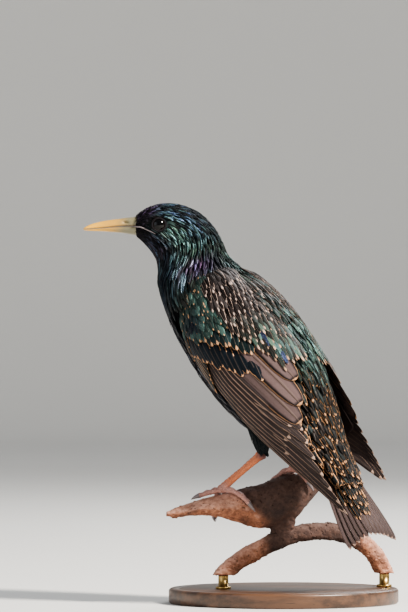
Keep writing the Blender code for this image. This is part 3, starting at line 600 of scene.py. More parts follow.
def bill_material():
    """Horn that runs from grey at the base through ochre to yellow at the tip, by its Along attribute."""
    material, tree, shader = new_material("Bill horn", specular_ior_level=0.5, coat_roughness=0.25)
    t = along_channels(tree)
    cloudy = noise(tree, stretched(tree, object_place(tree), (0.25, 1.0, 1.6)), 700.0, 5.0)
    at = times_plus(tree, cloudy, 0.20, minus(tree, t[0], 0.10))
    base = mixed(tree, ramp(tree, at, 0.05, 0.42), (0.20, 0.175, 0.10, 1), (0.60, 0.33, 0.065, 1))
    colour = mixed(tree, ramp(tree, at, 0.40, 0.9), base, (0.90, 0.47, 0.055, 1))
    low = times(tree, t[1], ramp(tree, at, 0.55, 0.05))
    colour = mixed(tree, low, colour, (0.22, 0.20, 0.125, 1))
    colour = mixed(tree, times(tree, t[2], 0.8), colour, (0.10, 0.045, 0.02, 1))
    feed(tree, shader, colour, times_plus(tree, cloudy, 0.22, 0.22), cloudy, 0.00012)
    return material


def mottled_material(name, scales, one, other, depth, **values):
    """Two colours in a fine mottle; scales are those of the mottle and of the bump."""
    material, tree, shader = new_material(name, **values)
    place = object_place(tree)
    colour = mixed(tree, noise(tree, place, scales[0]), (*one, 1), (*other, 1))
    feed(tree, shader, colour, height=noise(tree, place, scales[1]), depth=depth)
    return material


def gape_material():
    return mottled_material(
        "Gape", (1200.0, 2500.0), (0.34, 0.29, 0.29), (0.14, 0.11, 0.12), 0.0001,
        roughness=0.45, specular_ior_level=0.4,
    )


def lid_material():
    return mottled_material(
        "Eyelid", (1800.0, 3200.0), (0.018, 0.016, 0.019), (0.006, 0.005, 0.006), 0.00012,
        roughness=0.75, specular_ior_level=0.12,
    )


def claw_material():
    return mottled_material(
        "Claw horn", (900.0, 1500.0), (0.30, 0.25, 0.25), (0.085, 0.065, 0.068), 0.00006,
        roughness=0.3, specular_ior_level=0.6,
    )


def eye_material():
    """Dark brown iris and black pupil under a clear wet surface, by the angle from the eye's own axis."""
    material, tree, shader = new_material(
        "Eye", roughness=0.12, specular_ior_level=0.15, coat_weight=0.30, coat_roughness=0.02
    )
    angle = along_channels(tree)[0]
    fibres = noise(tree, object_place(tree), 1500.0, 5.0)
    iris = mixed(tree, fibres, (0.035, 0.018, 0.010, 1), (0.010, 0.006, 0.004, 1))
    colour = mixed(tree, ramp(tree, angle, 0.46, 0.40), iris, (0.001, 0.001, 0.0012, 1))
    colour = mixed(tree, ramp(tree, angle, 0.74, 0.82), colour, (0.006, 0.005, 0.005, 1))
    feed(tree, shader, colour)
    return material


def leg_material():
    """Scaled skin: orange-brown on the shank, pink and grey on the toes, dusky at the joint."""
    material, tree, shader = new_material("Leg skin", specular_ior_level=0.4)
    t = along_channels(tree)
    place = object_place(tree)
    cells = {"Vector": place, "Scale": 1100.0}
    scales = node(tree, "ShaderNodeTexVoronoi", cells, feature="DISTANCE_TO_EDGE").outputs
    creases = ramp(tree, scales[0], 0.0, 0.12)
    mottled = noise(tree, place, 420.0, 4.0)
    shank = mixed(tree, mottled, (0.78, 0.25, 0.11, 1), (0.46, 0.15, 0.075, 1))
    toes = mixed(tree, mottled, (0.72, 0.42, 0.36, 1), (0.42, 0.21, 0.18, 1))
    colour = mixed(tree, t[0], shank, toes)
    colour = mixed(tree, t[1], colour, (0.060, 0.030, 0.040, 1))
    between = times_plus(tree, creases, -0.55, 0.55)
    colour = mixed(tree, between, colour, (0.10, 0.045, 0.035, 1))
    feed(tree, shader, colour, times_plus(tree, mottled, 0.25, 0.30), creases, 0.00012)
    return material


def rust_material():
    """Iron with red-brown rust, painted light as a paler pink-orange on what faces up, and a painted shadow
    of the bird as a dark stretch under the bird.
    """
    material, tree, shader = new_material("Rusted iron", specular_ior_level=0.35)
    place = object_place(tree)
    broad = noise(tree, place, 60.0, 6.0, 0.6)
    fine = noise(tree, place, 520.0, 6.0, 0.7)
    pits = node(tree, "ShaderNodeTexVoronoi", {"Vector": place, "Scale": 430.0}).outputs["Distance"]
    facing = components(tree, node(tree, "ShaderNodeNewGeometry").outputs["Normal"])
    # Painted light: faces that look up are painted a paler pink-orange.
    up = ramp(tree, times_plus(tree, broad, 0.5, facing[2]), 0.05, 0.95)
    dark = mixed(tree, fine, (0.040, 0.022, 0.018, 1), (0.110, 0.048, 0.032, 1))
    rust = mixed(tree, ramp(tree, fine, 0.35, 0.7), (0.22, 0.085, 0.048, 1), (0.50, 0.225, 0.130, 1))
    pale = mixed(tree, ramp(tree, fine, 0.3, 0.65), (0.46, 0.225, 0.150, 1), (0.72, 0.42, 0.32, 1))
    colour = mixed(tree, ramp(tree, broad, 0.30, 0.52), dark, rust)
    colour = mixed(tree, times(tree, up, 0.75), colour, pale)

    # Painted shadow of the bird: between two x values, leaning with height above a level, the iron is painted
    # near-black.
    at = components(tree, place)
    above = math_node(tree, "MAXIMUM", minus(tree, at[2], PAINTED_SHADOW_ABOVE), 0.0)
    along = times_plus(tree, broad, 0.012, times_plus(tree, above, 0.94, at[0]))
    bare = times(tree, ramp(tree, along, *PAINTED_SHADOW_FROM), ramp(tree, along, *PAINTED_SHADOW_TO))
    # Near-black colour of the painted shadow.
    iron = mixed(tree, fine, (0.010, 0.009, 0.011, 1), (0.060, 0.040, 0.035, 1))
    colour = mixed(tree, times(tree, bare, 0.86), colour, iron)

    specks = ramp(tree, pits, 0.22, 0.10)
    colour = mixed(tree, times(tree, specks, 0.55), colour, (0.035, 0.02, 0.017, 1))
    height = times_plus(tree, fine, 0.8, times(tree, specks, -0.6))
    feed(tree, shader, colour, times_plus(tree, fine, 0.25, 0.62), height, 0.0006)
    return material


def wood_material():
    """Dark oiled wood with long grain and open pores."""
    material, tree, shader = new_material(
        "Base wood", specular_ior_level=0.5, coat_weight=0.25, coat_roughness=0.3
    )
    place = object_place(tree)
    bands = noise(tree, stretched(tree, place, (1.0, 9.0, 9.0)), 22.0, 6.0, 0.6)
    pores = noise(tree, stretched(tree, place, (1.0, 22.0, 22.0)), 90.0)
    colour = mixed(tree, ramp(tree, bands, 0.35, 0.65), (0.045, 0.022, 0.012, 1), (0.13, 0.062, 0.032, 1))
    colour = mixed(tree, ramp(tree, pores, 0.62, 0.72), colour, (0.015, 0.008, 0.005, 1))
    feed(tree, shader, colour, times_plus(tree, bands, 0.2, 0.32), pores, 0.00008)
    return material


def brass_material():
    material, tree, shader = new_material("Rod brass", metallic=1.0)
    lines = noise(tree, stretched(tree, object_place(tree), (1, 1, 40)), 60.0)
    colour = mixed(tree, lines, (0.55, 0.38, 0.15, 1), (0.34, 0.22, 0.09, 1))
    feed(tree, shader, colour, times_plus(tree, lines, 0.2, 0.22))
    return material


def floor_material():
    material, tree, shader = new_material("Floor paper", roughness=0.85, specular_ior_level=0.2)
    cloudy = noise(tree, object_place(tree), 3.0)
    feed(tree, shader, mixed(tree, cloudy, (0.74, 0.73, 0.70, 1), (0.78, 0.77, 0.74, 1)))
    return material


# Markings. Colours are linear red, green and blue.

BLACK = np.array((0.006, 0.006, 0.008))
BROWN = np.array((0.040, 0.026, 0.025))
DUSKY = np.array((0.165, 0.100, 0.094))
TEAL = np.array((0.16, 0.30, 0.30))
GREEN = np.array((0.17, 0.30, 0.22))
BLUE = np.array((0.12, 0.17, 0.34))
PURPLE = np.array((0.30, 0.15, 0.32))
BRONZE = np.array((0.24, 0.20, 0.19))
BUFF = np.array((0.66, 0.36, 0.19))
CREAM = np.array((0.60, 0.46, 0.40))
PINKISH = np.array((0.46, 0.33, 0.30))


def blend(weight, a, b):
    weight = np.clip(np.asarray(weight, float), 0.0, 1.0)[..., None]
    return a * (1 - weight) + b * weight


def bump_at(x, centre, wide):
    """1 at the centre, fading to 0 at wide away from it."""
    return 1.0 - smoothstep(np.abs(x - centre) / wide)


def body_marks(u, round_back, rng):
    """Colours and marks at places on the body; round_back is 0 on the back and 180 on the belly."""
    shape = np.shape(u)
    chance = rng.uniform(0.0, 1.0, shape)
    other = rng.uniform(0.0, 1.0, shape)
    head = smoothstep((u - 11.2) / 1.6)
    neck = bump_at(u, 10.4, 2.2)
    belly = smoothstep((round_back - 95.0) / 45.0)
    back = 1.0 - smoothstep((round_back - 30.0) / 60.0)
    mantle = bump_at(u, 7.6, 2.4) * (1 - belly)

    gloss = blend(chance, GREEN, TEAL)
    gloss = blend(belly * 0.8, gloss, blend(chance, PURPLE, BLUE) * 0.7)
    gloss = blend(mantle * 0.75, gloss, BRONZE * 0.32)
    throat = neck * smoothstep((round_back - 70.0) / 50.0)
    gloss = blend(throat, gloss, blend(chance, BLUE * 1.2, TEAL))
    collar = bump_at(u, 10.3, 1.3) * bump_at(round_back, 62.0, 55.0)
    gloss = blend(collar, gloss, blend(chance * 0.6, PURPLE * 1.25, BLUE))
    crown = head * (1 - smoothstep((round_back - 55.0) / 40.0))
    gloss = blend(crown, gloss, blend(chance, TEAL * 0.9, BLUE * 0.8))
    forehead = smoothstep((u - 15.0) / 1.5)
    gloss = blend(forehead * 0.8, gloss, PURPLE * 0.55)
    shine = 0.35 + 0.55 * chance
    lores = smoothstep((u - 14.0) / 1.8) * smoothstep((round_back - 52.0) / 30.0)
    shine = shine * (1 - 0.75 * lores) * (1 - 0.25 * belly)
    nape = bump_at(u, 12.6, 3.4) * (1 - smoothstep((round_back - 25.0) / 40.0))
    shine = shine * (1 - 0.75 * nape)

    ground = np.broadcast_to(BLACK, shape + (3,)).copy()
    ground = blend(mantle * 0.5, ground, BROWN)
    gloss = blend(smoothstep((5.6 - u) / 2.0), gloss, blend(chance, TEAL, BRONZE) * 0.20)

    streaks = mantle * smoothstep((9.3 - u) / 0.8) * (1 - smoothstep((round_back - 70.0) / 25.0))
    shoulder = bump_at(u, 9.25, 0.85) * bump_at(round_back, 55.0, 30.0)
    rump = smoothstep((5.2 - u) / 1.6) * (1 - smoothstep((round_back - 100.0) / 30.0))
    low = belly * smoothstep((5.0 - u) / 2.0)
    spot = np.maximum(streaks * 0.16 * (other > 0.35), shoulder * 0.30)
    spot = np.maximum(spot, rump * 0.16 * (chance < 0.7))
    spot = np.maximum(spot, low * 0.10 * (chance < 0.35))
    some = other[..., None]
    tone = blend(streaks * (1 - shoulder), BUFF * (0.8 + 0.4 * some), CREAM * (0.5 + 0.6 * some))
    tone = blend(back * streaks * 0.6, tone, PINKISH)
    fringe = np.maximum(streaks * (1 - shoulder) * 0.22 * (chance < 0.55), rump * 0.20 * (chance < 0.8))
    gloss = gloss * glint(other, 0.20 - 0.12 * head, 1.6 + 1.3 * head) * (1 - 0.45 * belly[..., None])
    return pack_marks(ground, shine, gloss, fringe, tone, spot)


def glint(chance, low, high):
    """Brightness of single feathers: most are dark and a few catch the light."""
    return (low + (high - low) * chance**4)[..., None]


def pack_marks(ground, shine, gloss, fringe, tone, spot):
    """The three colour attributes, with gloss strength, fringe width and spot length as their alphas."""
    shape = np.shape(shine)

    def with_alpha(colour, alpha):
        colour = np.broadcast_to(colour, shape + (3,))
        return np.concatenate([colour, np.broadcast_to(alpha, shape)[..., None]], -1)

    return {
        "Ground": with_alpha(ground, shine),
        "Gloss": with_alpha(gloss, fringe),
        "Spot": with_alpha(tone, spot),
    }


# Feathers

# Sections across a vane, as shares of its half width and thickness.
SLIM = np.array([(-1.0, 0.0), (0.0, 1.0), (1.0, 0.0), (0.0, -0.6)])
BROAD = np.array([(-1.0, 0.0), (-0.5, 0.8), (0.0, 1.1), (0.5, 0.8), (1.0, 0.0), (0.0, -0.8)])
FLIGHT = np.array(
    [(-1, 0), (-0.66, 0.7), (-0.3, 0.8), (-0.07, 0.9), (0, 2.0), (0.07, 0.9), (0.3, 0.8), (0.66, 0.7), (1, 0)]
    + [(0.4, -1), (-0.4, -1)]
)


def outline(t, point):
    """Share of a vane's half width along it; a high point gives a round tip, a low one a sharp tip."""
    rise = 0.40 + 0.60 * smoothstep(t / 0.35)
    close = np.sqrt(np.maximum(1.0 - t ** np.asarray(point)[..., None], 0.0))
    return rise * np.maximum(close, 0.05)


def feather_mesh(name, place, rows, profile, steps, material, rng, ragged=0.06):
    """One piece of feathers that lie on the surface place(first, second, lift).

    rows holds an array for each of: root, tip, width, low, high, thick, point, droop, bake and marks.
    """
    count, sides = len(rows["root"]), len(profile)
    t = 1.0 - (1.0 - np.linspace(0.0, 1.0, steps)) ** 1.25
    line = rows["root"][:, None] + (rows["tip"] - rows["root"])[:, None] * t[:, None]
    lift = rows["low"][:, None] + (rows["high"] - rows["low"])[:, None] * smoothstep(t / 0.7)
    centre = place(line[..., 0], line[..., 1], lift)
    normal = unit(place(line[..., 0], line[..., 1], lift + 0.5) - centre)
    along = unit(np.gradient(centre, axis=1))
    across = unit(np.cross(normal, along))
    width = rows["width"][:, None] * outline(t, rows["point"])
    width = width * (1.0 - ragged * rng.uniform(0.0, 1.0, width.shape))
    thick = rows["thick"][:, None] * (1.0 - 0.7 * t**3)
    x, z = profile.T
    sideways = (width[..., None] * x)[..., None] * across[:, :, None]
    rise = thick[..., None] * z - rows["droop"][:, None, None] * (width[..., None] * x) ** 2
    points = centre[:, :, None] + sideways + rise[..., None] * normal[:, :, None]

    *quads, root_cap, tip_cap = ring_faces(steps, sides)
    offsets = (np.arange(count) * steps * sides)[:, None, None]
    faces = (offsets + np.array(quads)).reshape(-1, 4).tolist()
    for cap in (root_cap, tip_cap):
        faces += (offsets[:, 0] + np.array(cap)).tolist()
    if signed_volume(points[0], [*quads, root_cap, tip_cap]) < 0:
        faces = [face[::-1] for face in faces]
    obj = mesh_object(name, points.reshape(-1, 3), faces, material)

    every = np.zeros((count, 1, 1))
    vane = np.stack([x * 0.5 + 0.5 + 0 * t[:, None] + every, t[:, None] + 0 * x + every], -1)
    set_uv(obj, "Vane", vane.reshape(-1, 2))
    patch = rows["bake"][:, None, None] + (vane - 0.5) * rows["patch"]
    set_uv(obj, "OFBake", patch.reshape(-1, 2))
    obj.data.uv_layers.active = obj.data.uv_layers["OFBake"]
    for label, values in rows["marks"].items():
        set_colour(obj, label, np.repeat(values, steps * sides, axis=0))
    return obj


def signed_volume(points, faces):
    """Of one closed feather, to tell which way its faces point."""
    flat = from_bird(points.reshape(-1, 3))
    total = 0.0
    for face in faces:
        a = flat[face[0]]
        for i in range(1, len(face) - 1):
            total += np.dot(a, np.cross(flat[face[i]], flat[face[i + 1]]))
    return total


def feather_rows(root, tip, width, low, high, thick, point, droop, bake, marks, patch=BAKE_PATCH):
    count = len(root)

    def full(value):
        return np.broadcast_to(np.asarray(value, float), (count,)).copy()

    return {
        "root": np.asarray(root, float),
        "tip": np.asarray(tip, float),
        "width": full(width),
        "low": full(low),
        "high": full(high),
        "thick": full(thick),
        "point": full(point),
        "droop": full(droop),
        "bake": np.asarray(bake, float),
        "marks": marks,
        "patch": np.asarray(patch, float),
    }


def wing_clearance(points):
    """Points against the folded wings' room: share of its radius, limit, mask, place and middle."""
    beside = np.abs(points[..., 1])
    from_top = points - AXIS_TOP
    a = from_top @ AXIS_DIRECTION
    back, belly, half = np.moveaxis(catmull(ENVELOPE, a / AXIS_STEP), -1, 0)
    c = (from_top @ AXIS_BACK - (back - belly) / 2) / ((back + belly) / 2)
    s = beside / half
    v = np.degrees(np.arctan2(s, c))
    mask = smoothstep((v - 22.0) / 9.0) * (1 - smoothstep((v - 122.0) / 9.0))
    mask = mask * smoothstep((a - 1.0) / 5.0) * (1 - smoothstep((a - 118.0) / 15.0))
    radius = np.hypot(c * (back + belly) / 2, s * half) / np.maximum(np.hypot(c, s), 1e-6)
    return np.hypot(c, s), 1.0 + (WING_FLOOR - 1.0) / radius, mask, a, (back - belly) / 2


def clear_of_wings(points):
    """Points drawn in towards the body's axis so that they lie under the folded wings."""
    share, limit, mask, a, middle = wing_clearance(points)
    axis = AXIS_TOP + a[..., None] * AXIS_DIRECTION + middle[..., None] * AXIS_BACK
    allowed = limit + (1 - mask) * 0.6
    scale = np.minimum(1.0, allowed / np.maximum(share, 1e-6))
    return axis + (points - axis) * scale[..., None]


def skin_depth(u):
    return COAT_DEPTH + (FACE_DEPTH - COAT_DEPTH) * smoothstep((u - 10.5) / 3.0)


def skin(material):
    """One skin for torso, neck and head, under the coat by the coat's depth."""
    u = np.linspace(0.02, BODY_END - 0.02, 200)[:, None]
    v = np.arange(120)[None, :] * 2 * math.pi / 120
    u, v = np.broadcast_arrays(u, v)
    points = clear_of_wings(body_point(u, v, -skin_depth(u)))
    obj = loft("skin", points, material)
    marks = body_marks(u.ravel(), round_back_of(v.ravel()), np.random.default_rng(1))
    set_colour(obj, "Ground", marks["Ground"])
    set_colour(obj, "Gloss", marks["Gloss"])
    set_uv(obj, "OFBake", np.stack([v.ravel() / (2 * math.pi), u.ravel() / BODY_END], -1))
    return place_piece(obj, "plumage", "torso", "neck", "head")


def round_back_of(v):
    """0 on the back, 180 on the belly, for an angle in radians."""
    degrees = np.degrees(v) % 360.0
    return np.minimum(degrees, 360.0 - degrees)


# Row spacing, spacing across, feather length, half width and tip sharpness, at places along the body.
COAT_AT = [0.0, 2.0, 5.0, 8.0, 9.6, 11.0, 12.5, 15.0, 18.0]
COAT = {
    "step": [3.2, 3.4, 3.2, 2.9, 2.4, 2.0, 1.5, 1.15, 0.8],
    "across": [2.6, 2.7, 2.6, 2.3, 1.6, 1.3, 1.05, 0.85, 0.65],
    "length": [11.0, 12.0, 12.5, 11.5, 10.0, 8.0, 5.2, 3.6, 1.9],
    "width": [1.9, 2.0, 1.9, 1.6, 0.95, 0.72, 0.60, 0.48, 0.34],
    "point": [3.6, 3.2, 2.4, 2.0, 1.6, 1.5, 1.6, 1.8, 2.0],
}
FINE_FROM = 9.4
COAT_PIECES = {
    "coat_rump": (0.0, 4.0),
    "coat_back": (4.0, 7.0),
    "coat_mantle": (7.0, FINE_FROM),
    "coat_neck": (FINE_FROM, 12.0),
    "coat_nape": (12.0, 14.5),
    "coat_face": (14.5, 19.0),
}


def coat_value(name, u):
    return np.interp(u, COAT_AT, COAT[name])


def coat_places(rng):
    """Roots of the body's feathers in staggered rows from the forehead to the tail."""
    found = []
    u, odd = BODY_END - 0.05, 0.0
    around = np.linspace(0, 2 * math.pi, 73)
    while u > 0.15:
        ring = body_point(u, around)
        circumference = np.linalg.norm(np.diff(ring, axis=0), axis=1).sum()
        count = int(circumference / coat_value("across", u))
        v = (np.arange(count) + odd) * 2 * math.pi / count
        v = v + rng.normal(0, 0.22, count) * 2 * math.pi / count
        pace = np.linalg.norm(body_point(u + 0.05, v) - body_point(u - 0.05, v), axis=1) / 0.1
        jitter = rng.normal(0, 0.25, count) * coat_value("step", u) / pace
        found.append(np.stack([u + jitter, v], -1))
        step = coat_value("step", u) / np.mean(pace)
        u, odd = u - min(step, 0.5), 0.5 - odd
    return np.concatenate(found)


def head_plane(points):
    """x and z of points with the head's turn taken out, and y."""
    back = turned(points, -HEAD_TURN)
    return back[..., 0], back[..., 1], back[..., 2]


def near_mouth(x, z):
    """Distance to the line of the mouth, in the head's own side view."""
    line = np.array(MOUTH)
    best = np.full(np.shape(x), 1e9)
    for (x0, z0), (x1, z1) in zip(line, line[1:]):
        dx, dz = x1 - x0, z1 - z0
        along = np.clip(((x - x0) * dx + (z - z0) * dz) / (dx**2 + dz**2), 0, 1)
        best = np.minimum(best, np.hypot(x - x0 - along * dx, z - z0 - along * dz))
    return best


def bare_face(points):
    """Where no feather may lie: over the eyes and the gape."""
    x, y, z = head_plane(points)
    eye = np.hypot(x - EYE_AT[0], (z - EYE_AT[2]) / 0.94) < 3.75
    return (eye & (np.abs(y) > 4.0)) | ((near_mouth(x, z) < 0.55) & (x > 45.5) & (np.abs(y) > 2.0))


def body_coat(material, fine_material):
    """Small feathers of the body in pieces from the head to the tail."""
    rng = np.random.default_rng(4)
    root = coat_places(rng)
    u, v = root.T
    length = coat_value("length", u) * rng.uniform(0.85, 1.15, len(u))
    lean = rng.normal(0, 0.10, len(u))
    pace_u = np.linalg.norm(body_point(u + 0.02, v) - body_point(u - 0.02, v), axis=1) / 0.04
    pace_v = np.linalg.norm(body_point(u, v + 0.01) - body_point(u, v - 0.01), axis=1) / 0.02
    back, aside = -length * np.cos(lean) / pace_u, length * np.sin(lean) / np.maximum(pace_v, 2.0)
    tip = root + np.stack([back, aside], -1)
    tip[:, 0] = np.maximum(tip[:, 0], 0.03)
    share, limit, mask = wing_clearance(body_point(u, v))[:3]
    middle = body_point((u + tip[:, 0]) / 2, (v + tip[:, 1]) / 2)
    share_mid, limit_mid, mask_mid = wing_clearance(middle)[:3]
    hidden = ((mask > 0.6) & (share > limit)) | ((mask_mid > 0.75) & (share_mid > limit_mid))
    bare = bare_face(body_point(u, v)) | bare_face(middle) | bare_face(body_point(tip[:, 0], tip[:, 1]))
    keep = ~(hidden | bare) & (u - tip[:, 0] < 2.5)
    root, tip, u, v = root[keep], tip[keep], u[keep], v[keep]
    depth = skin_depth(u)
    marks = body_marks(u, round_back_of(v), rng)
    rows = feather_rows(
        root,
        tip,
        coat_value("width", u) * rng.uniform(0.85, 1.15, len(u)),
        -depth * 0.95,
        rng.uniform(-0.25, 0.30, len(u)) * depth / COAT_DEPTH,
        0.16 * depth / COAT_DEPTH + 0.04,
        coat_value("point", u) * rng.uniform(0.9, 1.2, len(u)),
        0.10 / coat_value("width", u),
        np.stack([(v / (2 * math.pi)) % 1.0, u / BODY_END], -1),
        marks,
    )
    for name, (start, end) in COAT_PIECES.items():
        part = (u >= start) & (u < end)
        used = fine_material if start >= FINE_FROM else material
        place_piece(feather_mesh(name, body_point, chosen(rows, part), SLIM, 7, used, rng), "plumage")


def chosen(rows, keep):
    """The feathers of rows where keep is true."""
    result = {}
    for key, value in rows.items():
        if key == "marks":
            result[key] = {label: colours[keep] for label, colours in value.items()}
        elif key == "patch":
            result[key] = value
        else:
            result[key] = value[keep]
    return result


def stacked(parts):
    """Several sets of rows as one."""
    result = {}
    for key in parts[0]:
        if key == "marks":
            result[key] = {label: np.concatenate([p[key][label] for p in parts]) for label in parts[0][key]}
        elif key == "patch":
            result[key] = parts[0][key]
        else:
            result[key] = np.concatenate([p[key] for p in parts])
    return result


def spread(start, end, count):
    return np.linspace(np.array(start, float), np.array(end, float), count)


def wing_bake(root):
    return np.stack([root[:, 1] / 180.0, np.clip(root[:, 0] / 150.0 + 0.03, 0, 1)], -1)


def strip_bake(index, count):
    """Places of long vanes as side-by-side strips, and the strips' size."""
    wide = 0.92 / count
    return np.stack([0.04 + wide * (index + 0.5), np.full(len(index), 0.5)], -1), (wide * 0.8, 0.9)


# Feather tips on the folded wing, as wing_point takes them.
PRIMARY_TIPS = [
    (128.0, 113.0),
    (134.5, 108.0),
    (WING_TIP, 100.0),
    (132.0, 91.5),
    (125.0, 84.0),
    (117.0, 77.5),
    (109.0, 71.5),
    (101.5, 66.0),
    (94.5, 61.0),
]
TERTIAL_TIPS = [(91.5, 58.0), (84.5, 47.0), (73.0, 38.0)]
HANDS, ARMS, TERTIALS = len(PRIMARY_TIPS), 8, len(TERTIAL_TIPS)


def flight_rows(rng):
    """Hand and arm feathers of one folded wing, lowest first."""
    hand_root = spread((46.0, 114.0), (56.0, 90.0), HANDS)
    arm_root = spread((30.0, 114.0), (38.0, 84.0), ARMS)
    arm_tip = spread((99.0, 100.0), (90.0, 64.0), ARMS)
    sets = (
        (hand_root, np.array(PRIMARY_TIPS), 3.0, -1.9 + 0.27 * np.arange(HANDS), 2.6, 0.16),
        (arm_root, arm_tip, 3.1, -1.0 + 0.20 * np.arange(ARMS), 5.0, 0.17),
    )
    tone = CREAM * 0.75 + BUFF * 0.3
    parts, done = [], 0
    for root, tip, width, high, point, fringe in sets:
        n = len(root)
        bake, patch = strip_bake(done + np.arange(n), HANDS + ARMS)
        done += n
        tip = tip + rng.normal(0, 0.35, (n, 2))
        ground = BROWN * rng.uniform(0.8, 1.25, (n, 1))
        marks = pack_marks(ground, np.full(n, 0.18), BRONZE * 0.6, fringe, tone, 0.0)
        parts.append(feather_rows(root, tip, width, high - 0.5, high, 0.16, point, 0.012, bake, marks, patch))
    return stacked(parts)


def tertial_rows(rng):
    """The broad inner feathers: dusky pink-brown with a dark line inside a buff edge."""
    root, tip = spread((42.0, 76.0), (34.0, 50.0), TERTIALS), np.array(TERTIAL_TIPS)
    index = np.arange(TERTIALS)
    bake, patch = strip_bake(index, TERTIALS)
    low, high = 0.1 + 0.45 * index, 0.5 + 0.45 * index
    ground = DUSKY * rng.uniform(0.65, 0.85, (TERTIALS, 1))
    marks = pack_marks(ground, np.full(TERTIALS, 0.15), BRONZE, 0.10, BUFF * 0.9, 0.0)
    return feather_rows(root, tip, 5.8, low, high, 0.22, 7.0, 0.022, bake, marks, patch)


def covert_rows(root, tip, shape, rng, shine, gloss, fringe, spot, droop=0.03):
    """Short feathers; shape is their half width, lift at root and tip, and how round the tip is."""
    width, low, high, point = shape
    count = len(root)
    root = root + rng.normal(0, 0.3, (count, 2))
    tip = tip + rng.normal(0, 0.9, (count, 2))
    tint = rng.uniform(0.75, 1.25, (count, 1))
    gloss = gloss * glint(rng.uniform(size=count), 0.35, 1.5)
    spot = spot * rng.uniform(0.7, 1.3, count)
    marks = pack_marks(BLACK * tint, np.full(count, shine), gloss, fringe, BUFF * tint, spot)
    return feather_rows(root, tip, width, low, high, 0.16, point, droop, wing_bake(root), marks)


def great_covert_rows(rng):
    """Long coverts over the bases of the hand's feathers, the thumb's feathers, and those of the arm."""
    hand, arm = TEAL * 0.25, blend(0.5, TEAL, BLUE) * 0.30
    sets = (
        (6, (12, 119, 18, 108), (53, 121, 41, 109), (2.0, -1.2, -0.6, 0.1, 3.0), (0.35, hand, 0.22, 0.05)),
        (3, (8, 121, 10, 114), (30, 122, 26, 115), (2.0, -0.6, 0.2, 0.5, 3.0), (0.35, hand, 0.20, 0.06)),
        (13, (8, 112, 43, 56), (31, 115, 66, 63), (3.2, -0.9, 0.2, 0.9, 4.5), (0.50, arm, 0.15, 0.10)),
    )
    parts = []
    for count, roots, tips, (width, low, first, last, point), look in sets:
        root, tip = spread(roots[:2], roots[2:], count), spread(tips[:2], tips[2:], count)
        parts.append(covert_rows(root, tip, (width, low, spread(first, last, count), point), rng, *look))
    return stacked(parts)


def middle_covert_rows(rng):
    root, tip = spread((6, 103), (37, 50), 12), spread((21, 107), (52, 58), 12)
    return covert_rows(root, tip, (3.0, -0.2, spread(1.0, 1.4, 12), 4.0), rng, 0.60, TEAL * 0.42, 0.12, 0.20)


def small_covert_rows(rng):
    """Scale-like coverts of the shoulder, green with buff tips and a dark patch."""
    roots, tips = [], []
    for k, a in enumerate(np.arange(-1.0, 27.0, 2.6)):
        low = np.interp(a, (-1, 10, 27), (58, 44, 46))
        high = np.interp(a, (-1, 10, 20, 27), (100, 110, 96, 62))
        v = np.arange(low, high, 5.6) + (k % 2) * 2.8
        roots.append(np.stack([np.full(len(v), a), v], -1))
        tips.append(np.stack([np.full(len(v), a + 9.5), v + 1.5 + 3.0 * (v - 75) / 40], -1))
    root, tip = np.concatenate(roots), np.concatenate(tips)
    spot = np.where(rng.uniform(size=len(root)) < 0.62, 0.16, 0.0)
    shape = (1.9, 0.1, 1.55 + 0.2 * rng.uniform(size=len(root)), 2.8)
    rows = covert_rows(root, tip, shape, rng, 0.65, blend(0.5, GREEN, TEAL) * 0.8, 0.0, spot)
    patch = bump_at(root[:, 0], 13.0, 9.0) * bump_at(root[:, 1], 92.0, 22.0)
    gloss = rows["marks"]["Gloss"]
    gloss[:, :3] = blend(patch, gloss[:, :3], BLUE * 0.12)
    return rows


def shoulder_rows(rng):
    return stacked([middle_covert_rows(rng), small_covert_rows(rng)])


def scapular_rows(rng):
    """Long pointed feathers that hang from the shoulder over the wing's inner edge."""
    roots, tips = [], []
    for k, a in enumerate(np.arange(0.0, 46.0, 3.0)):
        high = np.interp(a, (0, 12, 26, 46), (58, 58, 52, 38))
        v = np.arange(14.0, high, 4.3) + (k % 2) * 2.1
        length = np.interp(a, (0, 46), (12.0, 21.0)) + rng.uniform(-2, 2, len(v))
        roots.append(np.stack([np.full(len(v), a), v], -1))
        tips.append(np.stack([a + length, v + 0.22 * (v - 20.0) * length / 20.0], -1))
    root, tip = np.concatenate(roots), np.concatenate(tips)
    count = len(root)
    chance, other = rng.uniform(size=count), rng.uniform(size=count)
    over = smoothstep((root[:, 1] - 6.0) / 30.0)
    low_end = smoothstep((root[:, 0] - 16.0) / 22.0)
    gloss = blend(low_end, BRONZE * 0.32, blend(chance, GREEN, TEAL) * 0.6) * glint(other, 0.10, 2.4)
    gloss = blend(low_end * (chance > 0.90), gloss, BLUE * 0.45)
    spot = np.where(chance < 0.7, 0.10 + 0.10 * other, 0.0)
    fringe = np.where(other < 0.66, 0.22 - 0.12 * low_end, 0.0)
    tone = blend(low_end * 0.6, CREAM, BUFF) * (0.5 + 0.6 * other[:, None])
    marks = pack_marks(blend(0.5, BLACK, BROWN), 0.45 + 0.45 * chance, gloss, fringe, tone, spot)
    tip = tip + rng.normal(0, 0.5, (count, 2))
    width, low, high = 1.5 + 0.5 * low_end, over * 0.4 - 0.8, 0.1 + 2.0 * over
    return feather_rows(root, tip, width, low, high, 0.16, 2.1, 0.05, wing_bake(root), marks)


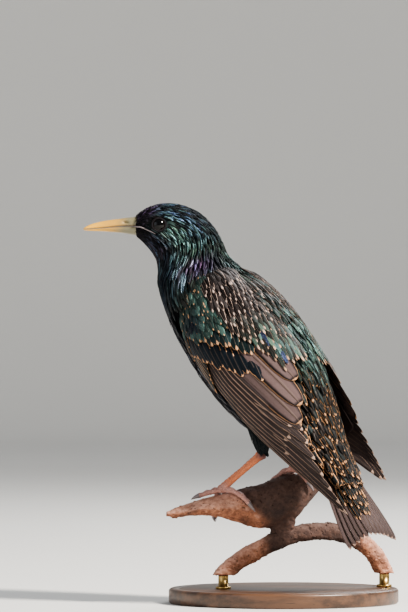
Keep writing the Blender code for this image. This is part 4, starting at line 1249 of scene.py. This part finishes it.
def wing_core(side, word, material):
    """Thin dark sheet that closes each wing under its feathers."""
    along = np.linspace(2.0, 96.0, 40)
    inner = np.interp(along, (2, 8, 18, 60, 96), (62, 46, 36, 38, 62))
    outer = np.interp(along, (2, 8, 18, 50, 80, 96), (96, 110, 117, 117, 110, 96))
    rim = np.linspace(0, 1, 15)
    a = np.repeat(along[:, None], 15, axis=1)
    v = inner[:, None] + (outer - inner)[:, None] * rim
    edge = np.minimum(1, 5 * np.minimum(rim, 1 - rim))[None, :]
    fade = np.interp(along, (2, 14, 70, 96), (0.3, 1, 1, 0.2))[:, None]
    top = WING_FLOOR + 0.3 + 1.0 * edge * fade
    over, under = wing_point(side, a, v, top), wing_point(side, a, v, WING_FLOOR)
    obj = loft(f"wing_{word}_skin", np.concatenate([over, under[:, ::-1]], axis=1), material)
    n = len(obj.data.vertices)
    set_colour(obj, "Ground", np.tile((*BROWN * 0.6, 0.0), (n, 1)))
    set_colour(obj, "Gloss", np.tile((*BROWN, 0.0), (n, 1)))
    around = np.concatenate([v, v[:, ::-1]], 1).ravel() / 180.0
    lengthwise = np.concatenate([a, a], 1).ravel() / 150.0
    set_uv(obj, "OFBake", np.stack([around, lengthwise], -1))
    return obj


# Name, rows, section, steps along a vane, material, slot and ragged edge, lowest layer first.
WING_LAYERS = (
    ("flight", flight_rows, FLIGHT, 26, "flight", "flight_feathers", 0.03),
    ("tertials", tertial_rows, FLIGHT, 24, "tertial", "flight_feathers", 0.02),
    ("great_coverts", great_covert_rows, BROAD, 14, "covert", "flight_feathers", 0.06),
    ("coverts", shoulder_rows, BROAD, 9, "covert", "plumage", 0.06),
    ("scapulars", scapular_rows, BROAD, 11, "coat", "plumage", 0.06),
)


def wings(materials):
    for side, word in SIDES:
        place = functools.partial(wing_point, side)
        rng = np.random.default_rng(20)
        place_piece(wing_core(side, word, materials["skin"]), "flight_feathers")
        for label, rows, profile, steps, look, slot, ragged in WING_LAYERS:
            name = f"wing_{word}_{label}"
            obj = feather_mesh(name, place, rows(rng), profile, steps, materials[look], rng, ragged)
            place_piece(obj, slot, *([f"wing_{word}"] if label == "flight" else []))


def tail_feather_rows(rng):
    roots, tips, highs = [], [], []
    for k in reversed(range(6)):
        for side in (1, -1):
            roots.append((TAIL_ROOT_S, side * (0.7 + 1.25 * k)))
            length = TAIL_LENGTH - 3.0 + 0.8 * k - (0.35 * k if side < 0 else 0.0)
            tips.append((length + rng.uniform(-0.4, 0.4), side * (1.6 + TAIL_SPREAD[side] * k)))
            highs.append(-0.42 * k - (0.2 if side < 0 else 0.0))
    bake, patch = strip_bake(np.arange(12), 12)
    ground = (BROWN * 0.6 + DUSKY * 0.35) * rng.uniform(0.8, 1.2, (12, 1))
    marks = pack_marks(ground, np.full(12, 0.2), BRONZE * 0.8, 0.10, PINKISH * 0.6 + BUFF * 0.2, 0.0)
    return feather_rows(roots, tips, 3.2, highs, highs, 0.16, 6.5, 0.012, bake, marks, patch)


# Rows over the tail's root: reach, start, lift at root and tip, and feathers in the row.
TAIL_COVERTS = (
    (47.0, 26.0, 3.0, 0.9, 9),
    (42.5, 22.0, 4.2, 1.6, 10),
    (38.0, 17.5, 5.2, 2.6, 10),
    (33.0, 13.0, 6.0, 3.9, 9),
    (28.0, 9.0, 6.8, 4.8, 8),
)


def tail_covert_rows(rng):
    parts = []
    for reach, start, low, high, count in TAIL_COVERTS:
        y = np.linspace(-8.0, 8.0, count)
        root = np.stack([np.full(count, start), 0.8 * y], -1)
        tip = np.stack([reach - 0.03 * y**2, 1.0 * y], -1)
        edge = 0.03 * y**2
        shape = (2.3, low - edge, high - edge, 3.2)
        parts.append(covert_rows(root, tip, shape, rng, 0.28, TEAL * 0.12, 0.15, 0.13))
    for reach, high in ((38.0, -3.4), (31.0, -4.2)):
        y = np.linspace(-6.0, 6.0, 8)
        root = np.stack([np.full(8, TAIL_ROOT_S - 4.0), 0.6 * y], -1)
        tip = np.stack([np.full(8, reach), y], -1)
        shape = (2.6, high + 0.9, high + 0.04 * np.abs(y), 2.6)
        parts.append(covert_rows(root, tip, shape, rng, 0.4, TEAL * 0.3, 0.20, 0.05, droop=-0.03))
    coverts = stacked(parts)
    coverts["bake"] = np.stack([coverts["root"][:, 1] / 40 + 0.5, coverts["root"][:, 0] / 60], -1)
    return coverts


def tail(materials):
    """Twelve tail feathers and the coverts over and under their roots."""
    rng = np.random.default_rng(31)
    rows = tail_feather_rows(rng)
    obj = feather_mesh("tail_feathers", tail_point, rows, FLIGHT, 22, materials["flight"], rng, 0.03)
    place_piece(obj, "flight_feathers", "tail")
    rows = tail_covert_rows(rng)
    obj = feather_mesh("tail_coverts", tail_point, rows, BROAD, 11, materials["covert"], rng)
    place_piece(obj, "plumage")


# Bare parts


def bill(material):
    """Both halves of the bill, with the nostrils sunk into the upper one."""
    arc = np.linspace(0, math.pi, 23)
    at = np.linspace(0, len(BILL) - 1, 70)
    x, culmen, mouth, edge, width = np.moveaxis(catmull(BILL, at), -1, 0)
    for upper, name in ((True, "bill_upper"), (False, "bill_lower")):
        start = mouth + 0.1 if upper else mouth - 0.1
        end = culmen if upper else edge
        power = 0.72 if upper else 0.85
        wide = width if upper else width * 0.94
        y = wide[:, None] * np.cos(arc)
        z = start[:, None] + (end - start)[:, None] * np.sin(arc) ** power
        points = np.stack(np.broadcast_arrays(x[:, None], y, z), -1)
        if upper:
            points = sink_nostrils(points)
        obj = loft(name + "_horn", turned(points, HEAD_TURN), material)
        share = np.clip((x - BILL_BASE_X) / (80.0 - BILL_BASE_X), 0, 1)[:, None] + 0 * arc
        low = np.full(share.shape, 0.0 if upper else 0.9)
        line = np.exp(-((np.abs(z - mouth[:, None]) / 0.28) ** 2))
        set_colour(obj, "Along", np.stack([share, low, line, np.ones_like(share)], -1).reshape(-1, 4))
        place_piece(obj, "bill", name)


def sink_nostrils(points):
    """Slots drawn into the sides of the upper bill."""
    x, y, z = np.moveaxis(points, -1, 0)
    near = np.exp(-(((x - NOSTRIL_AT[0]) / 1.5) ** 2) - (((z - NOSTRIL_AT[2]) / 0.55) ** 2))
    return np.stack([x, y * (1 - 0.42 * near), z], -1)


def surface_spot(x, z, side):
    """Where the head's surface has this x and z in its own side view: u and v."""
    u = np.linspace(11.5, BODY_END - 0.05, 220)[:, None]
    v = np.radians(np.linspace(4.0, 176.0, 240))[None, :] * side
    hx, _, hz = head_plane(body_point(u, v))
    i, j = np.unravel_index(np.argmin(np.hypot(hx - x, hz - z)), hx.shape)
    return u[i, 0], v[0, j]


def gape(material):
    """Pale soft ridge from the bill's base back to the corner of the mouth."""
    sides = []
    for side in (1, -1):
        marks = [surface_spot(x, z, side) for x, z in catmull(MOUTH, np.linspace(0, 3, 16))]
        u, v = np.array(marks).T
        path = body_point(u, v, 0.05)
        radii = np.interp(np.linspace(0, 1, 16), (0, 0.25, 0.7, 1), (0.2, 0.4, 0.45, 0.25))
        sides.append(loft("gape", tube_rings(path, radii, 10, 0.8), material))
    return place_piece(join("gape", sides), "bill")


def eyes(material, lid):
    polar, around = np.linspace(0.02, math.pi - 0.02, 40), np.arange(56) * 2 * math.pi / 56
    ring = np.sin(polar)[:, None]
    for side, word in SIDES:
        centre = np.array(EYE_AT) * (1, side, 1)
        out = (np.cos(polar) * side)[:, None] + 0 * around
        direction = np.stack([ring * np.cos(around), out, ring * np.sin(around)], -1)
        obj = loft(f"eyeball_{word}", turned(centre + direction * EYE_RADIUS, HEAD_TURN), material)
        share = np.repeat(polar / (math.pi / 2), 56)
        set_colour(obj, "Along", np.stack([share, share, share, share], -1))
        place_piece(obj, "eye", f"eye_{word}")
        eyelid(side, word, lid)


def eyelid(side, word, material):
    """Ring of bare skin round one eye, beaded and a little hooded above."""
    centre = np.array(EYE_AT) * (1, side, 1) + np.array((0.0, LID_OUT * side, 0.0))
    around = np.arange(96) * 2 * math.pi / 96
    section = np.arange(12) * 2 * math.pi / 12
    beads = 1.0 + 0.12 * np.cos(around * 24)
    hood = 1.0 + 0.25 * np.sin(around)
    reach = LID_RADIUS + 0.08 + LID_THICK * np.cos(section)[None, :] * beads[:, None]
    out = LID_THICK * np.sin(section)[None, :] * (beads * hood)[:, None] * side - 0.12 * side
    x, z = reach * np.cos(around)[:, None], 0.94 * reach * np.sin(around)[:, None]
    points = np.stack([x, out, z], -1) + centre
    faces = []
    for i in range(96):
        for k in range(12):
            a, b = i * 12 + k, i * 12 + (k + 1) % 12
            c, d = (i + 1) % 96 * 12 + k, (i + 1) % 96 * 12 + (k + 1) % 12
            faces.append((a, b, d, c))
    obj = outward(mesh_object(f"eyelid_{word}", turned(points, HEAD_TURN).reshape(-1, 3), faces, material))
    place_piece(obj, "plumage")


def foot_point(word):
    return to_bird(perch_point(FOOT_X[word], 0.0, PALM_RADIUS + 0.45))


def leg_shade(obj, toes, dusk):
    """Along attribute of a bare leg piece: share of toe colour, and duskiness."""
    n = len(obj.data.vertices)
    shade = np.stack([np.broadcast_to(toes, n), np.broadcast_to(dusk, n), np.zeros(n), np.ones(n)], -1)
    set_colour(obj, "Along", shade)
    return obj


def growth_tree(name, inputs):
    """New geometry nodes tree, the sockets of its inputs, and their identifiers for a modifier."""
    tree = bpy.data.node_groups.new(name, "GeometryNodeTree")
    tree.interface.new_socket("Geometry", in_out="INPUT", socket_type="NodeSocketGeometry")
    sizes = {}
    for label, value in inputs.items():
        kind = "NodeSocketInt" if isinstance(value, int) else "NodeSocketFloat"
        socket = tree.interface.new_socket(label, in_out="INPUT", socket_type=kind)
        socket.default_value = value
        sizes[label] = socket.identifier
    tree.interface.new_socket("Geometry", in_out="OUTPUT", socket_type="NodeSocketGeometry")
    return tree, tree.nodes.new("NodeGroupInput").outputs, sizes


def random_between(tree, seed, low, high):
    inputs = {2: low, 3: high, "Seed": seed}
    return node(tree, "FunctionNodeRandomValue", inputs, data_type="FLOAT").outputs[1]


def grow_here(tree, spots, shape, scale, material, smooth=False):
    """A copy of a shape at every spot, as the tree's result."""
    inputs = {"Points": spots["Points"], "Instance": shape, "Rotation": spots["Rotation"], "Scale": scale}
    placed = node(tree, "GeometryNodeInstanceOnPoints", inputs).outputs[0]
    real = node(tree, "GeometryNodeRealizeInstances", {0: placed}).outputs[0]
    if smooth:
        real = node(tree, "GeometryNodeSetShadeSmooth", {0: real}).outputs[0]
    final = node(tree, "GeometryNodeSetMaterial", {"Geometry": real, "Material": material}).outputs[0]
    tree.links.new(final, tree.nodes.new("NodeGroupOutput").inputs[0])


def scute_tree(material):
    """Geometry nodes: overlapping plates laid along a path, each plate a flattened ball."""
    inputs = {"Count": 12, "Width": 0.0015, "Height": 0.0006, "Length": 0.002, "Taper": 0.8, "Seed": 3}
    tree, given, sizes = growth_tree("Scutes", inputs)
    inputs = {"Curve": given["Geometry"], "Count": given["Count"]}
    spots = node(tree, "GeometryNodeCurveToPoints", inputs, mode="COUNT").outputs
    inputs = {"Segments": 12, "Rings": 8, "Radius": 1.0}
    plate = node(tree, "GeometryNodeMeshUVSphere", inputs).outputs["Mesh"]
    size = node(tree, "ShaderNodeCombineXYZ", {0: given["Width"], 1: given["Height"], 2: given["Length"]})
    share = math_node(tree, "DIVIDE", node(tree, "GeometryNodeInputIndex").outputs[0], given["Count"])
    smaller = times_plus(tree, share, minus(tree, given["Taper"], 1.0), 1.0)
    factor = times(tree, smaller, random_between(tree, given["Seed"], 0.92, 1.08))
    inputs = {0: size.outputs[0], "Scale": factor}
    scale = node(tree, "ShaderNodeVectorMath", inputs, operation="SCALE").outputs[0]
    grow_here(tree, spots, plate, scale, material, smooth=True)
    return tree, sizes


def grown(name, data, tree, values):
    """Plain mesh that a geometry nodes tree makes from data."""
    source = bpy.data.objects.new(name, data)
    bpy.context.scene.collection.objects.link(source)
    modifier = source.modifiers.new("Growth", "NODES")
    modifier.node_group = tree
    for identifier, value in values.items():
        modifier[identifier] = value
    depsgraph = bpy.context.evaluated_depsgraph_get()
    mesh = bpy.data.meshes.new_from_object(source.evaluated_get(depsgraph))
    source.modifiers.remove(modifier)
    bpy.data.objects.remove(source)
    obj = bpy.data.objects.new(name, mesh)
    bpy.context.scene.collection.objects.link(obj)
    return obj


def path_curve(name, points, bird):
    """Curve data through points, for a geometry nodes tree."""
    points = from_bird(points) if bird else np.asarray(points, float)
    curve = bpy.data.curves.new(name, "CURVE")
    curve.dimensions = "3D"
    curve.twist_mode = "Z_UP"
    spline = curve.splines.new("POLY")
    spline.points.add(len(points) - 1)
    for target, point in zip(spline.points, (points + GRIP) * MM):
        target.co = (*point, 1.0)
    return curve


def scutes(line, bird, grower, count, width, height, length, taper):
    """Plates along a line over a shank or a toe, with sizes in millimetres."""
    tree, sizes = grower
    labels = ("Count", "Width", "Height", "Length", "Taper")
    values = (count, width * MM, height * MM, length * MM, taper)
    given = {sizes[label]: value for label, value in zip(labels, values)}
    return grown("plates", path_curve("plates", line, bird), tree, given)


def toe_path(word, toe, steps=30):
    """Middle line of a toe over the iron and its radii, which swell at the pads."""
    end_x, end_angle = TOES[word][toe]
    t = np.linspace(0.0, 1.0, steps)
    radii = (TOE_RADIUS - 0.4 * t) * (1 + 0.10 * np.cos(t * 6 * math.pi))
    x = FOOT_X[word] + (end_x - FOOT_X[word]) * t
    return perch_point(x, end_angle * t, radii + TOE_CLEAR), radii


def legs(materials, grower):
    for word in ("left", "right"):
        ankle, foot = np.array(ANKLE[word]), foot_point(word)
        t = np.linspace(0.0, 1.0, 40)
        path = ankle + (foot - ankle) * t[:, None]
        radii = TARSUS_RADIUS * (1.10 - 0.24 * np.sin(math.pi * t)) * (1 + 0.03 * np.cos(t * 60))
        radii = radii + (ANKLE_RADIUS - TARSUS_RADIUS) * np.exp(-((t / 0.09) ** 2))
        radii[0] = 0.9
        shank = loft("shank", tube_rings(path, radii, 20, 1.15, (0.5, 0.0, 1.0)), materials["leg"])
        dusk = np.repeat(0.85 * np.exp(-((t / 0.13) ** 2)), 20)
        leg_shade(shank, np.repeat(smoothstep((t - 0.75) / 0.25), 20), dusk)
        front = path[3:] + np.array((0.85, 0.0, 0.55)) * radii[3:, None]
        plates = scutes(front, True, grower, 13, 1.15, 0.95, 1.75, 0.95)
        leg_shade(plates, 0.1, 0.0)
        place_piece(join(f"shank_{word}", [shank, plates]), "leg", f"tarsus_{word}")
        thigh_coat(word, materials)
    for word in ("left", "right"):
        feet(word, materials, grower)


def feet(word, materials, grower):
    share = np.linspace(-0.97, 0.97, 12)
    middle = foot_point(word) + np.linspace(-1.9, 1.9, 12)[:, None] * np.array((0.3, 0.0, 0.95))
    palm = tube_rings(middle, PALM_RADIUS * np.sqrt(np.maximum(1 - share**2, 0.02)), 18)
    pieces, claws = [leg_shade(loft("palm", palm, materials["leg"]), 0.8, 0.1)], []
    for toe in TOES[word]:
        path, radii = toe_path(word, toe)
        rings = tube_rings(path, radii, 16, 0.92)
        pieces.append(leg_shade(loft("toe", rings, materials["leg"], bird=False), 0.9, 0.05))
        outwards = unit(path - perch_middle(path))
        line = path + outwards * radii[:, None] * 0.72
        plates = scutes(line[1:-1], False, grower, 11, 1.0, 0.62, 1.2, 0.72)
        pieces.append(leg_shade(plates, 0.95, 0.0))
        claws.append(claw(word, toe, path, radii[-1], materials["claw"]))
    place_piece(join(f"toes_{word}", pieces), "leg", f"foot_{word}")
    nodes = [f"claw_{word}_{toe}" for toe in TOES[word]]
    place_piece(join(f"claws_{word}", claws), "claw", *nodes)


def perch_middle(points):
    """Middle of the iron beside points in the grip frame."""
    rows = np.array(PERCH)
    at = np.interp(points[:, 0], rows[:, 0], np.arange(len(rows)))
    z = catmull(rows, at)[:, 1]
    return np.stack([points[:, 0], PERCH_Y + points[:, 0] * math.tan(PERCH_TURN), z], -1)


def claw(word, toe, path, radius, material):
    """Curved, sharp claw with a thicker root that grips the toe's end."""
    end_x, end_angle = TOES[word][toe]
    along = unit(path[-1] - path[-2])
    down = unit(perch_point(end_x, end_angle, 0.0) - perch_point(end_x, end_angle, 1.0))
    length = HIND_CLAW if toe == "hind" else FRONT_CLAW
    t = np.linspace(0.0, 1.0, 22)
    reach = length * np.sin(t) - 0.5
    fall = length * (1 - np.cos(t)) * CLAW_FALL[word][toe]
    points = path[-1] + along * reach[:, None] + down * fall[:, None]
    radii = radius * 0.86 * (1 - t) ** 0.8 + 0.07
    return loft("claw", tube_rings(points, radii, 12, 1.15, tuple(-down)), material, bird=False)


def thigh_point(word, s, angle, lift):
    """Point on the feathered leg: share s of the way down it and an angle round it."""
    s, angle, lift = np.broadcast_arrays(np.asarray(s, float), np.asarray(angle, float), lift)
    knee, ankle = np.array(KNEE[word]), np.array(ANKLE[word])
    along = unit(ankle - knee)
    side = unit(np.cross(along, (0.0, 0.0, 1.0)))
    over = np.cross(side, along)
    radius = np.interp(s, (0.0, 0.35, 0.65, 0.85, 1.0), (5.8, 5.0, 4.1, 3.1, 1.9)) + lift
    round_ = side * np.cos(angle)[..., None] + over * np.sin(angle)[..., None] * 1.1
    return knee + (ankle - knee) * s[..., None] + round_ * radius[..., None]


def thigh_coat(word, materials):
    """Flesh of the feathered leg and its short dark feathers, down to the ankle."""
    rng = np.random.default_rng(8)
    s = np.linspace(0.0, 1.0, 24)[:, None]
    angle = np.arange(28) * 2 * math.pi / 28
    flesh = loft(f"thigh_{word}_skin", thigh_point(word, s, angle, -0.7), materials["skin"])
    n = len(flesh.data.vertices)
    set_colour(flesh, "Ground", np.tile((*BLACK, 0.3), (n, 1)))
    set_colour(flesh, "Gloss", np.tile((*TEAL * 0.35, 0.0), (n, 1)))
    set_uv(flesh, "OFBake", np.stack([np.tile(angle / (2 * math.pi), 24), np.repeat(s[:, 0], 28)], -1))
    place_piece(flesh, "plumage", f"thigh_{word}")
    rows = []
    for k, start in enumerate(np.linspace(0.0, 0.90, 15)):
        count = 16
        around = (np.arange(count) + 0.5 * (k % 2)) * 2 * math.pi / count
        rows.append(np.stack([np.full(count, start), around], -1))
    root = np.concatenate(rows)
    total = len(root)
    tip = root + np.stack([rng.uniform(0.22, 0.30, total), rng.normal(0, 0.08, total)], -1)
    tip[:, 0] = np.minimum(tip[:, 0], 0.98 + 0.14 * rng.uniform(size=total))
    marks = pack_marks(np.tile(BLACK, (total, 1)), np.full(total, 0.25), TEAL * 0.15, 0.0, BUFF, 0.0)
    bake = np.stack([(root[:, 1] / (2 * math.pi)) % 1, root[:, 0]], -1)
    rows = feather_rows(root, tip, 0.85, -0.6, rng.uniform(-0.1, 0.35, total), 0.12, 1.8, 0.08, bake, marks)
    place = functools.partial(thigh_point, word)
    obj = feather_mesh(f"thigh_{word}_feathers", place, rows, SLIM, 7, materials["fine"], rng)
    place_piece(obj, "plumage")


# Iron and stand


def arch_point(at):
    rows = catmull(ARCH, at)
    x, z = rows[..., 0], rows[..., 1]
    return np.stack([x, PERCH_Y + x * math.tan(PERCH_TURN), z], -1)


def finial(material):
    """Forged leaf under the bird: hammered faces, rough edges and the stem that joins it to the arch."""
    rows = np.array(PERCH)
    x = catmull(rows, np.linspace(0.02, len(rows) - 1.02, 190))[:, 0]
    angle = np.arange(120) * 3.0
    smooth = perch_point(x[:, None], angle[None, :])
    out = unit(perch_point(x[:, None], angle[None, :], 0.5) - smooth)
    dents = 0.30 * ripple(smooth, 9.0, 1) + 0.16 * ripple(smooth, 3.2, 2) + 0.07 * ripple(smooth, 1.3, 3)
    rough = 1.0 + 1.2 * np.exp(-(((smooth[..., 0] - 7.0) / 4.0) ** 2)) * (angle > 180)
    rest = 1.0 - 0.7 * smoothstep((28.0 - x)[:, None] / 6.0) * bump_at((angle + 180) % 360 - 180, 0.0, 50.0)
    leaf = loft("leaf", smooth + out * (dents * rough * rest - 0.35)[..., None], material, bird=False)
    around = np.arange(60) * 2 * math.pi / 60
    rings = []
    for px, z, wide, deep in catmull(STEM, np.linspace(0, 2, 40)):
        ring = np.stack([wide * np.cos(around), deep * np.sin(around), np.zeros(60)], -1)
        rings.append(ring + (px, PERCH_Y + px * math.tan(PERCH_TURN), z))
    rings = np.array(rings)
    out = unit(rings - rings.mean(axis=1, keepdims=True))
    rings = rings + out * (0.25 * ripple(rings, 4.0, 5))[..., None]
    stem = loft("stem", rings, material, bird=False)
    return join("iron_leaf", [leaf, stem])


def arch(material):
    """Curved bar, cut level above the base, with hammered and rusted faces."""
    at = np.linspace(0.0, 7.0, 260)
    path = arch_point(at)
    along = unit(arch_point(at + 0.01) - arch_point(at - 0.01))
    deep = np.array((-math.sin(PERCH_TURN), math.cos(PERCH_TURN), 0.0))
    high = unit(np.cross(deep, along))
    angles = (np.arange(40) + 0.5) * math.pi / 20
    shape = np.stack([np.cos(angles), np.sin(angles)], -1)
    shape = np.sign(shape) * np.abs(shape) ** 0.7
    ring = high[:, None] * shape[None, :, :1] * ARCH_HALF[0] + deep * shape[None, :, 1:] * ARCH_HALF[1]
    points = path[:, None] + ring
    dents = 0.24 * ripple(points, 11.0, 7) + 0.14 * ripple(points, 3.5, 8) + 0.06 * ripple(points, 1.4, 9)
    points = points + unit(ring) * (dents - 0.2)[..., None]
    level = ARCH_CUT_Z - GRIP[2]
    kept = points[:, :, 2].max(axis=1) > level - 2.0
    points = points[kept]
    bar = loft("iron_arch", points, material, bird=False)
    work = bmesh.new()
    work.from_mesh(bar.data)
    cut = bmesh.ops.bisect_plane(
        work,
        geom=work.verts[:] + work.edges[:] + work.faces[:],
        plane_co=(0, 0, ARCH_CUT_Z * MM),
        plane_no=(0, 0, -1),
        clear_outer=True,
    )
    edges = [e for e in cut["geom_cut"] if isinstance(e, bmesh.types.BMEdge)]
    bmesh.ops.holes_fill(work, edges=edges)
    bmesh.ops.recalc_face_normals(work, faces=work.faces)
    work.to_mesh(bar.data)
    work.free()
    return bar


def flake_tree(material):
    """Geometry nodes: small scabs of rust scattered over the iron."""
    inputs = {"Density": 120000.0, "Size": 0.0007, "Flatness": 0.35, "Seed": 11}
    tree, given, sizes = growth_tree("Rust flakes", inputs)
    inputs = {"Mesh": given["Geometry"], "Density": given["Density"], "Seed": given["Seed"]}
    spots = node(tree, "GeometryNodeDistributePointsOnFaces", inputs).outputs
    flake = node(tree, "GeometryNodeMeshIcoSphere", {"Radius": 1.0, "Subdivisions": 1}).outputs["Mesh"]
    radius = times(tree, random_between(tree, given["Seed"], 0.4, 1.5), given["Size"])
    narrow, flat = times(tree, radius, 0.7), times(tree, radius, given["Flatness"])
    scale = node(tree, "ShaderNodeCombineXYZ", {0: radius, 1: narrow, 2: flat}).outputs[0]
    grow_here(tree, spots, flake, scale, material)
    return tree, sizes


def iron(materials):
    tree, sizes = flake_tree(materials["iron"])
    leaf, bar = finial(materials["iron"]), arch(materials["iron"])
    for obj, name, seed in ((leaf, "leaf_scale", 11), (bar, "arch_scale", 12)):
        scabs = grown(name, obj.data.copy(), tree, {sizes["Seed"]: seed})
        place_piece(scabs, "iron")
    place_piece(leaf, "iron", "perch_finial")
    place_piece(bar, "iron", "perch_arch_1", "perch_arch_2", "perch_arch_3", "perch_arch_4")


def turned_disc(name, profile, centre, sides, material):
    """Solid of revolution about a vertical line; profile is radius and height above the floor."""
    around = np.arange(sides) * 2 * math.pi / sides
    rings = []
    for radius, z in profile:
        ring = np.stack([radius * np.cos(around), radius * np.sin(around), np.full(sides, z)], -1)
        rings.append(ring + (centre[0], centre[1], 0.0) - GRIP)
    return loft(name, rings, material, bird=False)


def stand(materials):
    """Round wooden base with an eased edge and a shallow groove, and the two rods with their collars."""
    turns = np.linspace(0, math.pi / 2, 9)
    ease = [(BASE_RADIUS - 1.4 + 1.4 * math.cos(t), BASE_THICK - 1.4 + 1.4 * math.sin(t)) for t in turns]
    groove = [(BASE_RADIUS - 4.0 - 0.35 * k, BASE_THICK - 0.35 * math.sin(math.pi * k / 6)) for k in range(7)]
    flat = [(20.0, BASE_THICK), (1.0, BASE_THICK)]
    profile = [(BASE_RADIUS - 0.8, 0.0), (BASE_RADIUS, 0.8), *ease, *groove, *flat]
    place_piece(turned_disc("base_disc", profile, (0.0, 0.0), 160, materials["wood"]), "base", "stand_base")
    for word in ("left", "right"):
        low, high = (np.array(corner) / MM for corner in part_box(f"stand_rod_{word}"))
        centre = (low + high)[:2] / 2
        r, foot, top = ROD_RADIUS, low[2], high[2]
        collar = [(r + 1.2, foot - GAP), (r + 1.2, foot + 0.6), (r + 0.9, foot + 0.9), (r, foot + 0.9)]
        profile = collar + [(r, top - 0.5), (r, top + GAP)]
        rod = turned_disc(f"rod_{word}", profile, centre, 48, materials["brass"])
        place_piece(rod, "rod", f"stand_rod_{word}")


# Floor, light and camera


def floor(material):
    """Round pale floor whose rim curves up into a low plain backdrop."""
    sides, bend, flat, top = 128, 0.7, 2.9, 1.2
    turns = np.linspace(0.1, math.pi / 2, 14)
    curve = [(flat + bend * math.sin(t), bend * (1 - math.cos(t))) for t in turns]
    profile = [(0.02, 0.0), (0.8, 0.0), (flat, 0.0), *curve, (flat + bend, top)]
    around = np.arange(sides) * 2 * math.pi / sides
    points = [(r * math.cos(a), r * math.sin(a), z) for r, z in profile for a in around]
    faces = [tuple(range(sides))]
    for i in range(len(profile) - 1):
        for k in range(sides):
            a, b = i * sides + k, i * sides + (k + 1) % sides
            faces.append((a, a + sides, b + sides, b))
    mesh = bpy.data.meshes.new("floor")
    mesh.from_pydata(points, [], faces)
    mesh.shade_smooth()
    mesh.materials.append(material)
    obj = bpy.data.objects.new("floor", mesh)
    bpy.context.scene.collection.objects.link(obj)


def area_light(name, at, size, power, colour):
    light = bpy.data.lights.new(name, "AREA")
    light.shape = "DISK"
    light.size = size
    light.energy = power
    light.color = colour
    obj = bpy.data.objects.new(name, light)
    obj.location = at
    obj.rotation_euler = aim_rotation(np.array(LIT_AT) - np.array(at))
    bpy.context.scene.collection.objects.link(obj)


def aim_rotation(direction):
    """Rotation that points a light's -Z along a direction."""
    x, y, z = direction / np.linalg.norm(direction)
    return (math.acos(-z), 0.0, math.atan2(-x, y))


def light_and_camera():
    bpy.context.scene.view_settings.look = VIEW_LOOK
    for name, light in LIGHTS.items():
        area_light(name, *light)
    world = bpy.data.worlds.new("Studio")
    world.use_nodes = True
    sky = world.node_tree.nodes["Background"].inputs
    sky["Color"].default_value = SKY_COLOUR
    sky["Strength"].default_value = SKY_STRENGTH
    bpy.context.scene.world = world
    camera = bpy.data.cameras.new("camera")
    camera.sensor_width = 36.0
    camera.lens = 36.0 * -CAMERA_AT[1] / VIEW_HEIGHT
    camera.clip_end = 20.0
    obj = bpy.data.objects.new("camera", camera)
    obj.location = np.array(CAMERA_AT) * MM
    obj.rotation_euler = (math.pi / 2, 0.0, 0.0)
    bpy.context.scene.collection.objects.link(obj)
    bpy.context.scene.camera = obj


def main():
    materials = {
        "skin": skin_material(),
        "coat": feather_material("Body feathers", 16.0),
        "fine": feather_material("Head and neck feathers", 10.0, shaft=0.3),
        "covert": feather_material("Wing coverts", 26.0, shaft=0.5, narrow=1.1),
        "flight": feather_material("Flight feathers", 90.0, shaft=0.8, depth=0.0002),
        "tertial": feather_material("Inner wing feathers", 60.0, dark_line=0.9, shaft=0.7, depth=0.0002),
        "leg": leg_material(),
        "claw": claw_material(),
        "iron": rust_material(),
        "wood": wood_material(),
        "brass": brass_material(),
    }
    skin(materials["skin"])
    body_coat(materials["coat"], materials["fine"])
    wings(materials)
    tail(materials)
    bill(bill_material())
    gape(gape_material())
    eyes(eye_material(), lid_material())
    legs(materials, scute_tree(materials["leg"]))
    iron(materials)
    stand(materials)
    floor(floor_material())
    light_and_camera()


main()
